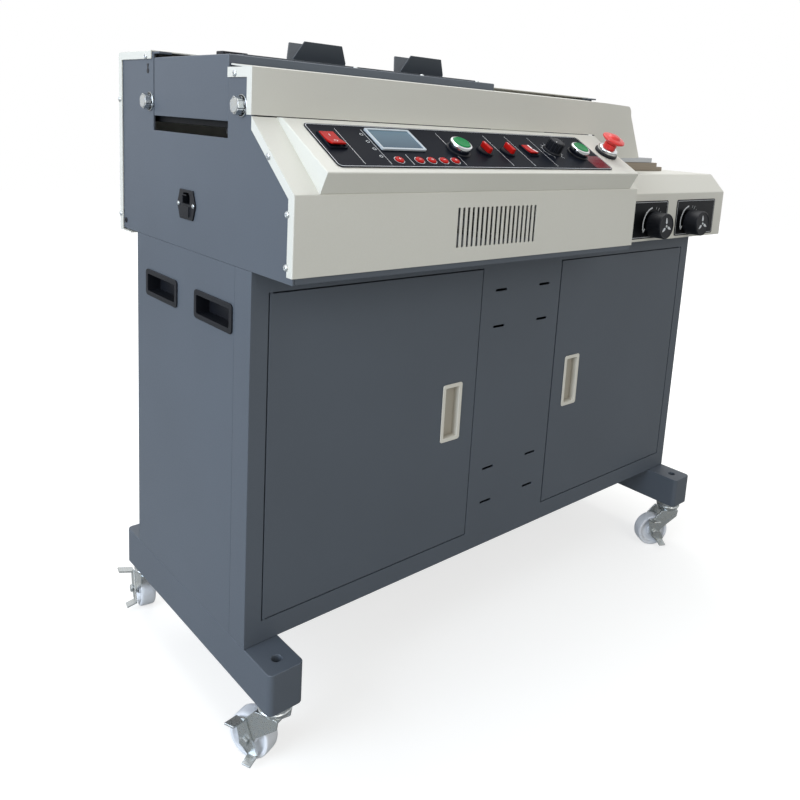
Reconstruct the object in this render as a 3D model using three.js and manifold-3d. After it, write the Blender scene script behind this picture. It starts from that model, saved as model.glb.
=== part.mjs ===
// Floor-standing thermal binding machine: a sheet steel cabinet on castors carries a housing with
// a book-clamp carriage on two guide rods, a milling head, a glue tank and a nipping table.
// Millimetres, +Z up. Inside this file x = 0 is the middle of the cabinet, y = 0 the middle of its
// feet and z = 0 the floor; the operator stands on the -y side.

import * as THREE from 'three';
import { mergeVertices } from 'three/addons/utils/BufferGeometryUtils.js';
import Module from 'manifold-3d';

const wasm = await Module();
wasm.setup();

// Clearances and stock
const seat = 0.3;
const running = 0.3;
const sheet = 2;
const plate = 3;

// Castors
const castorHeight = 96;
const wheelRadius = 32.5;
const wheelWidth = 24;
const wheelBore = 4.3;
const wheelSides = 20;
const castorTrail = 34;
const forkClearance = 1.5;
const forkPlate = 3;
const stemRadius = 6.7;
const racewayRadius = 23;
const castorHeadings = { front_left: 112, front_right: 150, rear_left: 80, rear_right: 70 };

// Feet
const footLength = 460;
const footWidth = 52;
const footHeight = 59;
const footCorner = 8;
const stemInset = 27;

// Cabinet
const cabinetWidth = 1011;
const cabinetDepth = 343;
const cabinetHeight = 508;
const footReachFront = 66.6;
const frameReturn = 40;
const railTop = 29.8;
const railBottom = 33.7;
const stileWidth = 27.1;
const centrePanelWidth = 196.7;
const centrePanelOffset = -2;
const openingFlange = 20;
const doorGap = 2;
const doorDepth = 18;
const hingePinRadius = 2.5;
const hingeInset = 3;
const ventSlotLength = 27;
const ventSlotHeight = 4;
const ventSlotSpacingX = 106.5;
const ventSlotRows = [65.7, 125.8, 369, 429];

// Door handles and side grips
const handleWidth = 41;
const handleHeight = 94;
const handleEdge = 30;
const handleFlange = 1.5;
const handleRim = 4;
const handleDepth = 13;
const gripWidth = 105;
const gripHeight = 39.7;
const gripRim = 5;
const gripFlange = 2;
const gripDepth = 22;
const gripWall = 2;
const gripBelowTop = 69;
const gripSetbacks = { rear: 254.9, front: 95.7 };

// Housing
const frontOverhang = 93.1;
const rearOverhang = 63.4;
const deckFlange = 26;
const coverFaceTop = 102.5;
const coverFaceBottom = 8.5;
const bandSetback = 96.5;
const bandBottom = 186;
const bandTop = 241;
const bandFlangeRise = 5;
const lipWidth = 12;
const coverBeyondBulge = 22;
const carriageSlotBottom = 156;
const slotClearance = 1;
const wingSetback = 29;
const wingLength = 190;
const wingAngle = 14;
const wingSlant = 66;
const wingBottom = 146.5;
const wingCorner = 16;
const rearCoverTop = 267;
const rearFlange = 119;

// Guide rods
const rodRadius = 8;
const rodHeight = 196;
const rodFrontSetback = 25;
const rodRearInset = 48.6;
const bracketSetback = 44;
const bracketThickness = 8;
const stopTabLength = 16;
const stopTabReach = 30;
const boltShank = 5;
const washerRadius = 13;
const washerThickness = 2;
const hexAcross = 19;
const hexThickness = 9;

// Control panel bulge, angle set by its front edge and its top edge
const bulgeLeft = 31.5;
const bulgeBeyondFilm = 59;
const bulgeTopStep = 12;
const bulgeFrontReach = 13.5;
const bulgeFrontHeight = 128.5;
const bulgeTopHeight = 185;
const ventCount = 18;
const ventPitch = 9;
const ventWidth = 4.5;
const ventHeight = 53;
const ventFirst = 250.5;
const ventBottom = 29;

// Panel parts, measured along the slope from the left end of the bulge and from its front edge.
// Their places along the film are shares of its length.
const overlayLeft = 21;
const overlayLength = 528;
const overlayBottom = 10;
const overlayHeight = 92;
const overlayCorner = 7;
const overlayThickness = 1.2;
const screenShare = 0.161;
const screenWidth = 73;
const screenBottom = 45.5;
const screenHeight = 47;
const screenThickness = 2.6;
const keyRadius = 6;
const keyHeight = 1.2;
const keyLine = 25.5;
const keyShares = [0.1875, 0.25, 0.2888, 0.3286, 0.3674];
const bezelThickness = 2.5;
const bezelRim = 2;
const rockerTilt = 7;
const rockerClearance = 0.6;
const powerRocker = { share: 0.0398, up: 64, width: 21, length: 31 };
const modeRocker = { share: 0.6951, up: 55, width: 15, length: 24 };
const selectorShares = { left: 0.5095, right: 0.5985 };
const selectorLine = 50;
const selectorRadius = 10;
const selectorDisc = 3;
const selectorHandle = 13;
const selectorBar = 7;
const selectorCollar = 12.5;
const collarRadius = 15.5;
const collarHeight = 12;
const collarWall = 2.5;
const buttonTravel = 3;
const buttonShares = { start: 0.4148, clamp: 0.9053 };
const buttonLine = 51;
const speedKnobShare = 0.7992;
const speedKnobLine = 57;
const speedKnobRadius = 13;
const speedKnobHeight = 19;
const fluteCount = 12;
const stopFromEnd = 26;
const stopLine = 58;
const stopCapRadius = 20;
const stopNeckRadius = 10.5;
const stopCollarRadius = 15;
const stopCollarHeight = 11;
const stopTravel = 5;
const stopHeight = 34;

// Console at the right end
const consoleLength = 398.2;
const consoleSetback = 54.5;
const consoleFaceHeight = 87;
const consoleTopHeight = 120;
const consoleSlopeDepth = 32;
const knobRadius = 24;
const knobLength = 31.5;
const knobHeightZ = 30.5;
const knobShaft = 4;
const knobInsets = { guide: 142.7, nip: 270.7 };

// Nipping table
const tableThickness = 8;
const consoleNotch = 65.7;
const consoleRearInset = 68.6;
const tableInset = 75.7;
const tableLength = 254;
const tableFrontReach = 45;
const tableRearInset = 7;
const plateStep = 20;
const nipThickness = 8;
const guideThickness = 9;
const nipDepth = 43;
const nipOpening = 33;
const nipRearDepth = 66;

// Book clamp carriage
const carriageLength = 467.5;
const carriageFrontSetback = 61.4;
const carriageRearInset = 11.8;
const carriageBottom = 176.5;
const carriageTop = 257;
const framePlate = 8;
const bearingLength = 55;
const bearingHeight = 48;
const bearingPlaces = { front: [10, 140], rear: [10, 380] };
const jawLength = 400;
const jawLeft = 30;
const jawPlate = 5;
const jawDrop = 17;
const jawFaceSetback = 48.6;
const bookGap = 7;
const clampTravel = 45;
const jawFlange = 38;
const funnelHeight = 30;
const funnelLength = 86;
const funnelTaper = 14;
const funnelLeanFront = 9;
const funnelLeanRear = 20;
const funnelSheet = 2;
const funnelPlaces = [119.5, 308.5];

// Milling head and glue tank
const cutterRadius = 48;
const cutterThickness = 7;
const cutterTeeth = 12;
const cutterBeforeTank = 64;
const cutterTop = 150;
const motorRadius = 44;
const motorHeight = 88;
const spindleRadius = 8;
const tankBeforeTable = 36;
const tankLength = 104;
const tankDepth = 170;
const tankHeight = 66;
const tankWall = 4;
const tankLegs = 70;
const rollerRadius = 26;
const rollerLength = 120;
const rollerShaft = 6;

// Power inlet
const inletSetback = 173.4;
const inletHeight = 61.2;
const inletWidth = 52;
const inletTall = 40;
const inletFlat = 38;
const inletEar = 12;
const inletFlange = 2;
const inletDepth = 24;

// Levels and planes that several pieces share
const sideX = cabinetWidth / 2;
const footTop = castorHeight + footHeight;
const cabinetTop = footTop + cabinetHeight;
const cabinetFront = -footLength / 2 + footReachFront;
const cabinetBack = cabinetFront + cabinetDepth;
const coverFront = cabinetFront - frontOverhang;
const rearFace = cabinetBack + rearOverhang;
const deckBottom = cabinetTop + seat;
const deckTop = deckBottom + plate;
const bandFace = coverFront + bandSetback;
const rodFrontY = bandFace + rodFrontSetback;
const rodRearY = cabinetBack - rodRearInset;
const carriageFrontY = bandFace + carriageFrontSetback;
const carriageRearY = rodRearY - carriageRearInset;
const jawFaceY = carriageFrontY + jawFaceSetback;
const workY = jawFaceY + bookGap / 2;
const consoleFrontY = coverFront + consoleSetback;
const consoleRear = cabinetBack - consoleRearInset;
const tableFrontY = jawFaceY - tableFrontReach;
const tableRearY = consoleRear - tableRearInset;
const inletY = cabinetFront + inletSetback;
const gripPlaces = { rear: cabinetFront + gripSetbacks.rear, front: cabinetFront + gripSetbacks.front };
const rodZ = cabinetTop + rodHeight;
const slotZ = cabinetTop + carriageSlotBottom;
const slotFront = carriageFrontY - slotClearance;
const slotRear = carriageRearY + slotClearance;
const bulgeLength = overlayLeft + overlayLength + bulgeBeyondFilm;
const coverRight = -sideX + bulgeLeft + bulgeLength + coverBeyondBulge;
const lipFace = sideX + seat + sheet;
const frontEdgeY = coverFront - bulgeFrontReach;
const frontEdgeZ = cabinetTop + bulgeFrontHeight;
const bulgeTopY = bandFace - bulgeTopStep;
const bulgeTopZ = cabinetTop + bulgeTopHeight;
const bulgeStartX = -sideX + bulgeLeft;
const bulgeEndX = bulgeStartX + bulgeLength;
const panelAngle = Math.atan2(bulgeTopZ - frontEdgeZ, bulgeTopY - frontEdgeY);
const consoleLeft = coverRight + seat;
const consoleRight = consoleLeft + consoleLength;
const consoleNotchX = consoleLeft + consoleNotch;
const knobPlaces = { guide: consoleLeft + knobInsets.guide, nip: consoleLeft + knobInsets.nip };
const tableLeft = consoleLeft + tableInset;
const tableRight = tableLeft + tableLength;
const bracketX = coverRight + bracketSetback;
const tankLeft = tableLeft - tankBeforeTable - tankLength;
const cutterX = tankLeft - cutterBeforeTank;
const consoleTop = cabinetTop + consoleTopHeight;
const tableTop = consoleTop + seat + tableThickness;

// Finishes: colour, roughness, metalness
const finishes = {
  greyPaint: ['#5f6870', 0.62, 0.1],
  creamPaint: ['#d9d8cf', 0.55, 0.05],
  blackPlastic: ['#17191c', 0.5, 0],
  creamPlastic: ['#e4e1d3', 0.45, 0],
  zinc: ['#b9bcbc', 0.35, 0.9],
  groundSteel: ['#c9cccd', 0.25, 0.95],
  nylon: ['#e9ebee', 0.45, 0],
  castAluminium: ['#9a9d9f', 0.5, 0.7],
  bronzePlate: ['#9c8a74', 0.45, 0.6],
  darkPlate: ['#4b4844', 0.55, 0.5],
  panelFilm: ['#22252b', 0.35, 0],
  screenGlass: ['#6c8aa0', 0.2, 0],
  redPlastic: ['#c8201c', 0.35, 0],
  greenPlastic: ['#0fa04a', 0.35, 0],
};

// Solids

function solidOf(geometry) {
  const bare = geometry.clone();
  bare.deleteAttribute('normal');
  bare.deleteAttribute('uv');
  const merged = mergeVertices(bare, 1e-4);
  const vertProperties = new Float32Array(merged.attributes.position.array);
  const triVerts = new Uint32Array(merged.index.array);
  return new wasm.Manifold(new wasm.Mesh({ numProp: 3, vertProperties, triVerts }));
}

function geometryOf(solid) {
  const mesh = solid.getMesh();
  const geometry = new THREE.BufferGeometry();
  geometry.setAttribute('position', new THREE.BufferAttribute(new Float32Array(mesh.vertProperties), 3));
  geometry.setIndex(new THREE.BufferAttribute(new Uint32Array(mesh.triVerts), 1));
  geometry.computeVertexNormals();
  return geometry;
}

function join(...solids) {
  return solids.reduce((whole, piece) => whole.add(piece));
}

function cut(solid, ...tools) {
  return tools.reduce((rest, tool) => rest.subtract(tool), solid);
}

function block([x0, x1], [y0, y1], [z0, z1]) {
  const box = new THREE.BoxGeometry(x1 - x0, y1 - y0, z1 - z0);
  box.translate((x0 + x1) / 2, (y0 + y1) / 2, (z0 + z1) / 2);
  return solidOf(box);
}

function outline(points) {
  return new THREE.Shape(points.map(([a, b]) => new THREE.Vector2(a, b)));
}

function extruded(points, depth) {
  return new THREE.ExtrudeGeometry(outline(points), { depth, bevelEnabled: false });
}

// An outline of [y, z] points drawn along x
function alongX(points, x0, x1) {
  const geometry = extruded(points, x1 - x0);
  const turn = new THREE.Matrix4().makeBasis(
    new THREE.Vector3(0, 1, 0), new THREE.Vector3(0, 0, 1), new THREE.Vector3(1, 0, 0));
  return solidOf(geometry.applyMatrix4(turn).translate(x0, 0, 0));
}

// An outline of [x, z] points drawn along y
function alongY(points, y0, y1) {
  const geometry = extruded(points, y1 - y0);
  const turn = new THREE.Matrix4().makeBasis(
    new THREE.Vector3(1, 0, 0), new THREE.Vector3(0, 0, 1), new THREE.Vector3(0, -1, 0));
  return solidOf(geometry.applyMatrix4(turn).translate(0, y1, 0));
}

// An outline of [x, y] points drawn along z
function alongZ(points, z0, z1) {
  return solidOf(extruded(points, z1 - z0).translate(0, 0, z0));
}

function roundX(radius, x0, x1, y, z, sides = 24) {
  const rod = new THREE.CylinderGeometry(radius, radius, x1 - x0, sides);
  return solidOf(rod.rotateZ(-Math.PI / 2).translate((x0 + x1) / 2, y, z));
}

function roundY(radius, y0, y1, x, z, sides = 24) {
  const rod = new THREE.CylinderGeometry(radius, radius, y1 - y0, sides);
  return solidOf(rod.translate(x, (y0 + y1) / 2, z));
}

function roundZ(radius, z0, z1, x, y, sides = 24) {
  const rod = new THREE.CylinderGeometry(radius, radius, z1 - z0, sides);
  return solidOf(rod.rotateX(Math.PI / 2).translate(x, y, (z0 + z1) / 2));
}

// A profile of [radius, height] points turned about z
function turnedZ(profile, sides = 24) {
  const points = profile.map(([r, h]) => new THREE.Vector2(r, h));
  return solidOf(new THREE.LatheGeometry(points, sides).rotateX(Math.PI / 2));
}

function roundedRectangle([a0, a1], [b0, b1], radius, steps = 4) {
  const corners = [[a1 - radius, b1 - radius, 0], [a0 + radius, b1 - radius, 90],
    [a0 + radius, b0 + radius, 180], [a1 - radius, b0 + radius, 270]];
  return corners.flatMap(([a, b, start]) => Array.from({ length: steps + 1 }, (_, i) => {
    const angle = THREE.MathUtils.degToRad(start + (90 * i) / steps);
    return [a + radius * Math.cos(angle), b + radius * Math.sin(angle)];
  }));
}

// Each edge of a closed outline moved to its left by its own distance
function offsetEdges(points, distances) {
  const lines = points.map(([a, b], i) => {
    const [c, d] = points[(i + 1) % points.length];
    const length = Math.hypot(c - a, d - b);
    const along = [(c - a) / length, (d - b) / length];
    return { start: [a - along[1] * distances[i], b + along[0] * distances[i]], along };
  });
  return lines.map((line, i) => {
    const before = lines[(i + lines.length - 1) % lines.length];
    const cross = before.along[0] * line.along[1] - before.along[1] * line.along[0];
    const da = line.start[0] - before.start[0];
    const db = line.start[1] - before.start[1];
    const t = (da * line.along[1] - db * line.along[0]) / cross;
    return [before.start[0] + before.along[0] * t, before.start[1] + before.along[1] * t];
  });
}

// The closed outline of a folded sheet whose left face follows an open line of points
function foldedSheet(points, thickness) {
  const back = points.map(([a, b], i) => {
    const [pa, pb] = points[Math.max(i - 1, 0)];
    const [na, nb] = points[Math.min(i + 1, points.length - 1)];
    const before = i > 0 ? [a - pa, b - pb] : [na - a, nb - b];
    const after = i < points.length - 1 ? [na - a, nb - b] : before;
    const lengthBefore = Math.hypot(...before);
    const lengthAfter = Math.hypot(...after);
    const n1 = [before[1] / lengthBefore, -before[0] / lengthBefore];
    const n2 = [after[1] / lengthAfter, -after[0] / lengthAfter];
    const scale = thickness / (1 + n1[0] * n2[0] + n1[1] * n2[1]);
    return [a + (n1[0] + n2[0]) * scale, b + (n1[1] + n2[1]) * scale];
  });
  return [...points, ...back.reverse()];
}

const machine = new THREE.Group();

function place(name, solid, finish, parent = machine) {
  const [color, roughness, metalness] = finishes[finish];
  const material = new THREE.MeshStandardMaterial({ color, roughness, metalness, flatShading: true });
  const mesh = new THREE.Mesh(geometryOf(solid), material);
  mesh.name = name;
  parent.add(mesh);
  return mesh;
}

// Feet: square tube beams with closed ends and a stem hole near each end

const footX = sideX - footWidth / 2;
const stemY = footLength / 2 - stemInset;

function foot(x) {
  const edge = [[x - footWidth / 2, x + footWidth / 2], [-footLength / 2, footLength / 2]];
  const beam = alongZ(roundedRectangle(...edge, footCorner), castorHeight, footTop);
  const holes = [-stemY, stemY].map((y) => roundZ(stemRadius + running, castorHeight - 1, footTop + 1, x, y, 20));
  return cut(beam, ...holes);
}

place('foot_left', foot(-footX), 'greyPaint');
place('foot_right', foot(footX), 'greyPaint');

// Castors: raceway and fork, wheel, and a two-eared brake lever, trailing along the group's +x

const forkInner = wheelWidth / 2 + forkClearance;
const forkOuter = forkInner + forkPlate;
const forkTop = 79;
const leverPlate = 2.5;
const leverInner = forkOuter + running;
const leverOuter = leverInner + leverPlate;
const nutThickness = 4;

function castorFork() {
  const stem = roundZ(stemRadius, forkTop, footTop - 22, 0, 0, 16);
  const raceway = turnedZ([[0, forkTop - 1], [18, forkTop - 1], [racewayRadius, forkTop + 7],
    [racewayRadius, castorHeight - 3], [racewayRadius - 2, castorHeight - seat], [0, castorHeight - seat]], 16);
  const crown = block([-16, 21], [-forkOuter, forkOuter], [forkTop - forkPlate, forkTop]);
  const side = [[-16, forkTop], [21, forkTop], [castorTrail + 3, forkTop - 17], [castorTrail + 10, wheelRadius + 10],
    [castorTrail + 9, wheelRadius - 5], [castorTrail + 2, wheelRadius - 9], [castorTrail - 7, wheelRadius - 7],
    [castorTrail - 17, wheelRadius + 8], [-14, forkTop - 14]];
  const cheeks = [alongY(side, forkInner, forkOuter), alongY(side, -forkOuter, -forkInner)];
  const axle = roundY(wheelBore - running, -forkOuter - 1, leverOuter + 1, castorTrail, wheelRadius, 12);
  const nuts = [[-forkOuter - nutThickness, -forkOuter], [leverOuter + running, leverOuter + running + nutThickness]].map(
    ([y0, y1]) => roundY(7, y0, y1, castorTrail, wheelRadius, 6));
  return join(stem, raceway, crown, ...cheeks, axle, ...nuts);
}

// The tread's flats lie on the wheel radius, and one of them is on the floor
function castorWheel() {
  const half = wheelWidth / 2;
  const tread = wheelRadius / Math.cos(Math.PI / wheelSides);
  const profile = [[wheelBore, -half], [wheelRadius - 18, -half], [wheelRadius - 16, -half + 2.5],
    [wheelRadius - 6, -half + 2.5], [wheelRadius - 3, -half], [tread, -half + 3],
    [tread, half - 3], [wheelRadius - 3, half], [wheelRadius - 6, half - 2.5],
    [wheelRadius - 16, half - 2.5], [wheelRadius - 18, half], [wheelBore, half], [wheelBore, -half]];
  const wheel = new THREE.LatheGeometry(profile.map(([r, h]) => new THREE.Vector2(r, h)), wheelSides);
  return solidOf(wheel.rotateY(Math.PI / wheelSides).translate(castorTrail, 0, wheelRadius));
}

// The brake lever turns on the axle outside the left cheek; its two ears are bent outward
function brakeLever() {
  const z = wheelRadius;
  const arms = [[castorTrail + 1, z + 33], [castorTrail - 10, z + 6], [castorTrail - 21, z - 14],
    [castorTrail - 9, z - 22], [castorTrail + 8, z - 7], [castorTrail + 17, z + 27]];
  const plate = alongY(arms.reverse(), leverInner, leverOuter);
  const ear = (points, x0, x1) => alongX(points, x0, x1);
  const upper = ear(foldedSheet([[leverInner + 0.2, z + 30], [leverOuter + 22, z + 36]], leverPlate),
    castorTrail + 1, castorTrail + 16);
  const lower = ear(foldedSheet([[leverInner + 0.2, z - 16], [leverOuter + 14, z - 21]], leverPlate),
    castorTrail - 20, castorTrail - 6);
  const bore = roundY(wheelBore, leverInner - 1, leverOuter + 1, castorTrail, z, 12);
  return cut(join(plate, upper, lower), bore);
}

const castorPlaces = {
  front_left: [-footX, -stemY],
  front_right: [footX, -stemY],
  rear_left: [-footX, stemY],
  rear_right: [footX, stemY],
};

for (const [corner, [x, y]] of Object.entries(castorPlaces)) {
  const castor = new THREE.Group();
  castor.position.set(x, y, 0);
  castor.rotation.z = THREE.MathUtils.degToRad(castorHeadings[corner]);
  machine.add(castor);
  place(`castor_fork_${corner}`, castorFork(), 'zinc', castor);
  place(`castor_wheel_${corner}`, castorWheel(), 'nylon', castor);
  place(`castor_pedal_${corner}`, brakeLever(), 'zinc', castor);
}

// Cabinet: folded front frame, side, back and floor panels

const cabinetBottom = footTop + seat;
const cabinetRim = cabinetTop;
const openingZ = [footTop + railBottom, cabinetTop - railTop];
const centreLeft = centrePanelOffset - centrePanelWidth / 2;
const centreRight = centrePanelOffset + centrePanelWidth / 2;
const doorX = {
  left: [-sideX + stileWidth, centreLeft],
  right: [centreRight, sideX - stileWidth],
};

function grown([a, b], by) {
  return [a - by, b + by];
}

function frontFrame() {
  const back = cabinetFront + frameReturn;
  const plan = foldedSheet(
    [[-sideX, back], [-sideX, cabinetFront], [sideX, cabinetFront], [sideX, back]].reverse(), sheet);
  let frame = alongZ(plan, cabinetBottom, cabinetRim);
  for (const [side, span] of Object.entries(doorX)) {
    const depth = [cabinetFront, cabinetFront + openingFlange];
    frame = frame.add(block(grown(span, doorGap + sheet), depth, grown(openingZ, doorGap + sheet)));
    frame = frame.subtract(block(grown(span, doorGap), grown(depth, 1), grown(openingZ, doorGap)));
    const pinX = side === 'left' ? span[0] + hingeInset : span[1] - hingeInset;
    frame = frame.subtract(roundZ(hingePinRadius + running, openingZ[0] - 9, openingZ[1] + 9,
      pinX, cabinetFront + hingeInset, 12));
  }
  for (const below of ventSlotRows) {
    for (const side of [-1, 1]) {
      const x = centrePanelOffset + (side * ventSlotSpacingX) / 2;
      const z = cabinetTop - below;
      const slot = roundedRectangle([x - ventSlotLength / 2, x + ventSlotLength / 2],
        [z - ventSlotHeight / 2, z + ventSlotHeight / 2], ventSlotHeight / 2 - 0.1, 2);
      frame = frame.subtract(alongY(slot, cabinetFront - 1, cabinetFront + sheet + 1));
    }
  }
  return frame;
}

const panelFront = cabinetFront + frameReturn + seat;
const betweenSides = grown([-sideX, sideX], -sheet - seat);

function sidePanel(x) {
  const z = cabinetTop - gripBelowTop;
  const windows = Object.values(gripPlaces).map((y) => block(grown(x, 1),
    grown([y - gripWidth / 2, y + gripWidth / 2], seat - gripRim),
    grown([z - gripHeight / 2, z + gripHeight / 2], seat - gripRim)));
  return cut(block(x, [panelFront, cabinetBack], [cabinetBottom, cabinetRim]), ...windows);
}

place('front_frame', frontFrame(), 'greyPaint');
place('side_panel_left', sidePanel([-sideX, -sideX + sheet]), 'greyPaint');
place('side_panel_right', sidePanel([sideX - sheet, sideX]), 'greyPaint');
place('back_panel', block(betweenSides, [cabinetBack - sheet, cabinetBack],
  [cabinetBottom + sheet + seat, cabinetRim]), 'greyPaint');
place('floor_panel', block(betweenSides, [panelFront, cabinetBack], [cabinetBottom, cabinetBottom + sheet]), 'greyPaint');
// Doors: folded trays on pivot pins, each with a recessed pull

function handleSpan(side) {
  const [x0, x1] = doorX[side];
  return side === 'left' ? [x1 - handleEdge - handleWidth, x1 - handleEdge] : [x0 + handleEdge, x0 + handleEdge + handleWidth];
}

const doorMiddle = (openingZ[0] + openingZ[1]) / 2;
const handleZ = [doorMiddle - handleHeight / 2, doorMiddle + handleHeight / 2];

function door(side) {
  const [x0, x1] = doorX[side];
  const skin = [cabinetFront, cabinetFront + doorDepth];
  const tray = block([x0, x1], skin, openingZ);
  const hollow = block([x0 + sheet, x1 - sheet], [skin[0] + sheet, skin[1] + 1], grown(openingZ, -sheet));
  const window = block(grown(handleSpan(side), seat - handleRim), grown(skin, 1), grown(handleZ, seat - handleRim));
  const pinX = side === 'left' ? x0 + hingeInset : x1 - hingeInset;
  const pinY = cabinetFront + hingeInset;
  const [low, high] = openingZ;
  const pins = [[low - doorGap - sheet - 1, low + sheet], [high - sheet, high + doorGap + sheet + 1]].map(
    ([z0, z1]) => roundZ(hingePinRadius, z0, z1, pinX, pinY, 12));
  return join(cut(tray, hollow, window), ...pins);
}

function doorHandle(side) {
  const span = handleSpan(side);
  const face = [cabinetFront - seat - handleFlange, cabinetFront - seat];
  const flange = alongY(roundedRectangle(span, handleZ, 4), ...face);
  const cup = block(grown(span, -handleRim), [face[0], face[0] + handleDepth], grown(handleZ, -handleRim));
  const wall = handleRim + 2;
  const pocket = block(grown(span, -wall), [face[0] - 1, face[0] + handleDepth - 2], grown(handleZ, -wall));
  const lip = side === 'left' ? [span[0] + wall - 1, span[0] + wall + 9] : [span[1] - wall - 9, span[1] - wall + 1];
  const pull = block(lip, [face[0], face[0] + 3], grown(handleZ, -wall + 1));
  return join(cut(join(flange, cup), pocket), pull);
}

for (const side of ['left', 'right']) {
  place(`door_${side}`, door(side), 'greyPaint');
  place(`door_handle_${side}`, doorHandle(side), 'creamPlastic');
}

// Side grips: moulded cups set through the cabinet sides

function grip(sign, y) {
  const z = cabinetTop - gripBelowTop;
  const across = [y - gripWidth / 2, y + gripWidth / 2];
  const upright = [z - gripHeight / 2, z + gripHeight / 2];
  const face = sideX + seat + gripFlange;
  const alongSide = (points, near, far) => alongX(points, ...[sign * near, sign * far].sort((a, b) => a - b));
  const flange = alongSide(roundedRectangle(across, upright, 6), face, face - gripFlange);
  const cup = alongSide(roundedRectangle(grown(across, -gripRim), grown(upright, -gripRim), 3), face, face - gripDepth);
  const inset = gripRim + gripWall;
  const pocket = alongSide(roundedRectangle(grown(across, -inset), grown(upright, -inset), 2),
    face + 1, face - gripDepth + gripWall);
  return cut(join(flange, cup), pocket);
}

for (const [where, y] of Object.entries(gripPlaces)) {
  place(`grip_left_${where}`, grip(-1, y), 'blackPlastic');
  place(`grip_right_${where}`, grip(1, y), 'blackPlastic');
}

// Deck tray on the cabinet, flanged up at the front of the left part and along the back, with a shelf
// under the console

function deckTray() {
  const front = coverFront + sheet + seat;
  const back = rearFace - sheet - seat;
  const left = foldedSheet([[back, deckBottom + deckFlange], [back, deckBottom], [front, deckBottom],
    [front, deckBottom + deckFlange]], plate);
  const right = foldedSheet([[back, deckBottom + deckFlange], [back, deckBottom],
    [consoleFrontY + sheet + seat, deckBottom]], plate);
  const shelf = block([sideX - 1, consoleRight - sheet - seat], [consoleFrontY + sheet + seat, consoleRear - sheet - seat],
    [deckBottom, deckTop]);
  return join(alongX(left, -sideX + plate + seat, coverRight - plate),
    alongX(right, coverRight - plate - 1, sideX), shelf);
}

// Left end plate, slotted for the carriage, and the narrow tower welded on the deck at the right rear

const plateRear = rearFace - sheet - seat;
const slotTop = cabinetTop + 400;
const slotOutline = [[slotFront, slotZ], [slotRear, slotZ], [slotRear, slotTop], [slotFront, slotTop]];
const topFront = cabinetTop + bandTop - sheet - seat;
const topRear = cabinetTop + rearCoverTop - sheet - seat;
const towerFront = consoleRear + 2;
const shankHole = (x0, x1, y) => roundX(boltShank + running, x0 - 1, x1 + 1, y, rodZ, 16);

function endPlateLeft() {
  const x = [-sideX, -sideX + plate];
  const front = coverFront + sheet + seat;
  const behindBand = bandFace + sheet + seat;
  const profile = [[front, deckBottom], [plateRear, deckBottom], [plateRear, topRear], [0, topRear],
    [0, topFront], [behindBand, topFront], [behindBand, cabinetTop + bandBottom - 6],
    [front, cabinetTop + coverFaceTop - 2]];
  const socket = block(grown(x, 1), grown([inletY - inletWidth / 2, inletY + inletWidth / 2], seat - inletEar),
    grown([deckBottom + inletHeight - inletTall / 2, deckBottom + inletHeight + inletTall / 2], seat - 3));
  const holes = [rodFrontY, rodRearY].map((y) => shankHole(...x, y));
  const tab = block([x[0], x[1] + stopTabLength], [rodRearY - stopTabReach, rodRearY], [topRear - plate, topRear]);
  return cut(alongX(profile, ...x), alongX(slotOutline, x[0] - 1, x[1] + 1), socket, ...holes).add(tab);
}

function tower() {
  const x = [sideX - plate, sideX];
  const profile = [[towerFront, deckBottom + 1], [plateRear - 1, deckBottom + 1], [plateRear, topRear],
    [towerFront, topRear]];
  const tab = block([x[0] - stopTabLength, x[1]], [rodRearY - stopTabReach, rodRearY], [topRear - plate, topRear]);
  return cut(alongX(profile, ...x), shankHole(...x, rodRearY)).add(tab);
}

place('end_plate_left', endPlateLeft(), 'greyPaint');

// Bracket welded on the deck, which carries the right end of the short front rod behind the wing

function rodBracket() {
  const x = [bracketX, bracketX + bracketThickness];
  const y = grown([rodFrontY, rodFrontY], washerRadius + 1);
  const post = block(x, y, [deckTop - 1, rodZ + washerRadius + 2]);
  const foot = block([x[0], x[1] + 30], y, [deckTop - 1, deckTop + bracketThickness]);
  return cut(join(post, foot), shankHole(...x, rodFrontY));
}

place('deck_tray', join(deckTray(), tower(), rodBracket()), 'greyPaint');

// Guide rods, each with a hex bolt and washer at both ends

function guideRod(y, rightInner, rightOuter) {
  const inner = [-sideX + plate + seat, rightInner - seat];
  const outer = [-sideX - seat, rightOuter + seat];
  const rod = roundX(rodRadius, ...inner, y, rodZ);
  const shank = roundX(boltShank, outer[0] - 1, outer[1] + 1, y, rodZ, 16);
  const washers = [[outer[0] - washerThickness, outer[0]], [outer[1], outer[1] + washerThickness]].map(
    ([x0, x1]) => roundX(washerRadius, x0, x1, y, rodZ));
  const corner = hexAcross / Math.sqrt(3);
  const heads = [[outer[0] - washerThickness - hexThickness, outer[0] - 1],
    [outer[1] + 1, outer[1] + washerThickness + hexThickness]].map(([x0, x1]) => roundX(corner, x0, x1, y, rodZ, 6));
  return join(rod, shank, ...washers, ...heads);
}

place('guide_rod_front', guideRod(rodFrontY, bracketX, bracketX + bracketThickness), 'groundSteel');
place('guide_rod_rear', guideRod(rodRearY, sideX - plate, sideX), 'groundSteel');

// Front band: upper cream sheet with an end lip, a top flange and a wing bent back at the right

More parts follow.
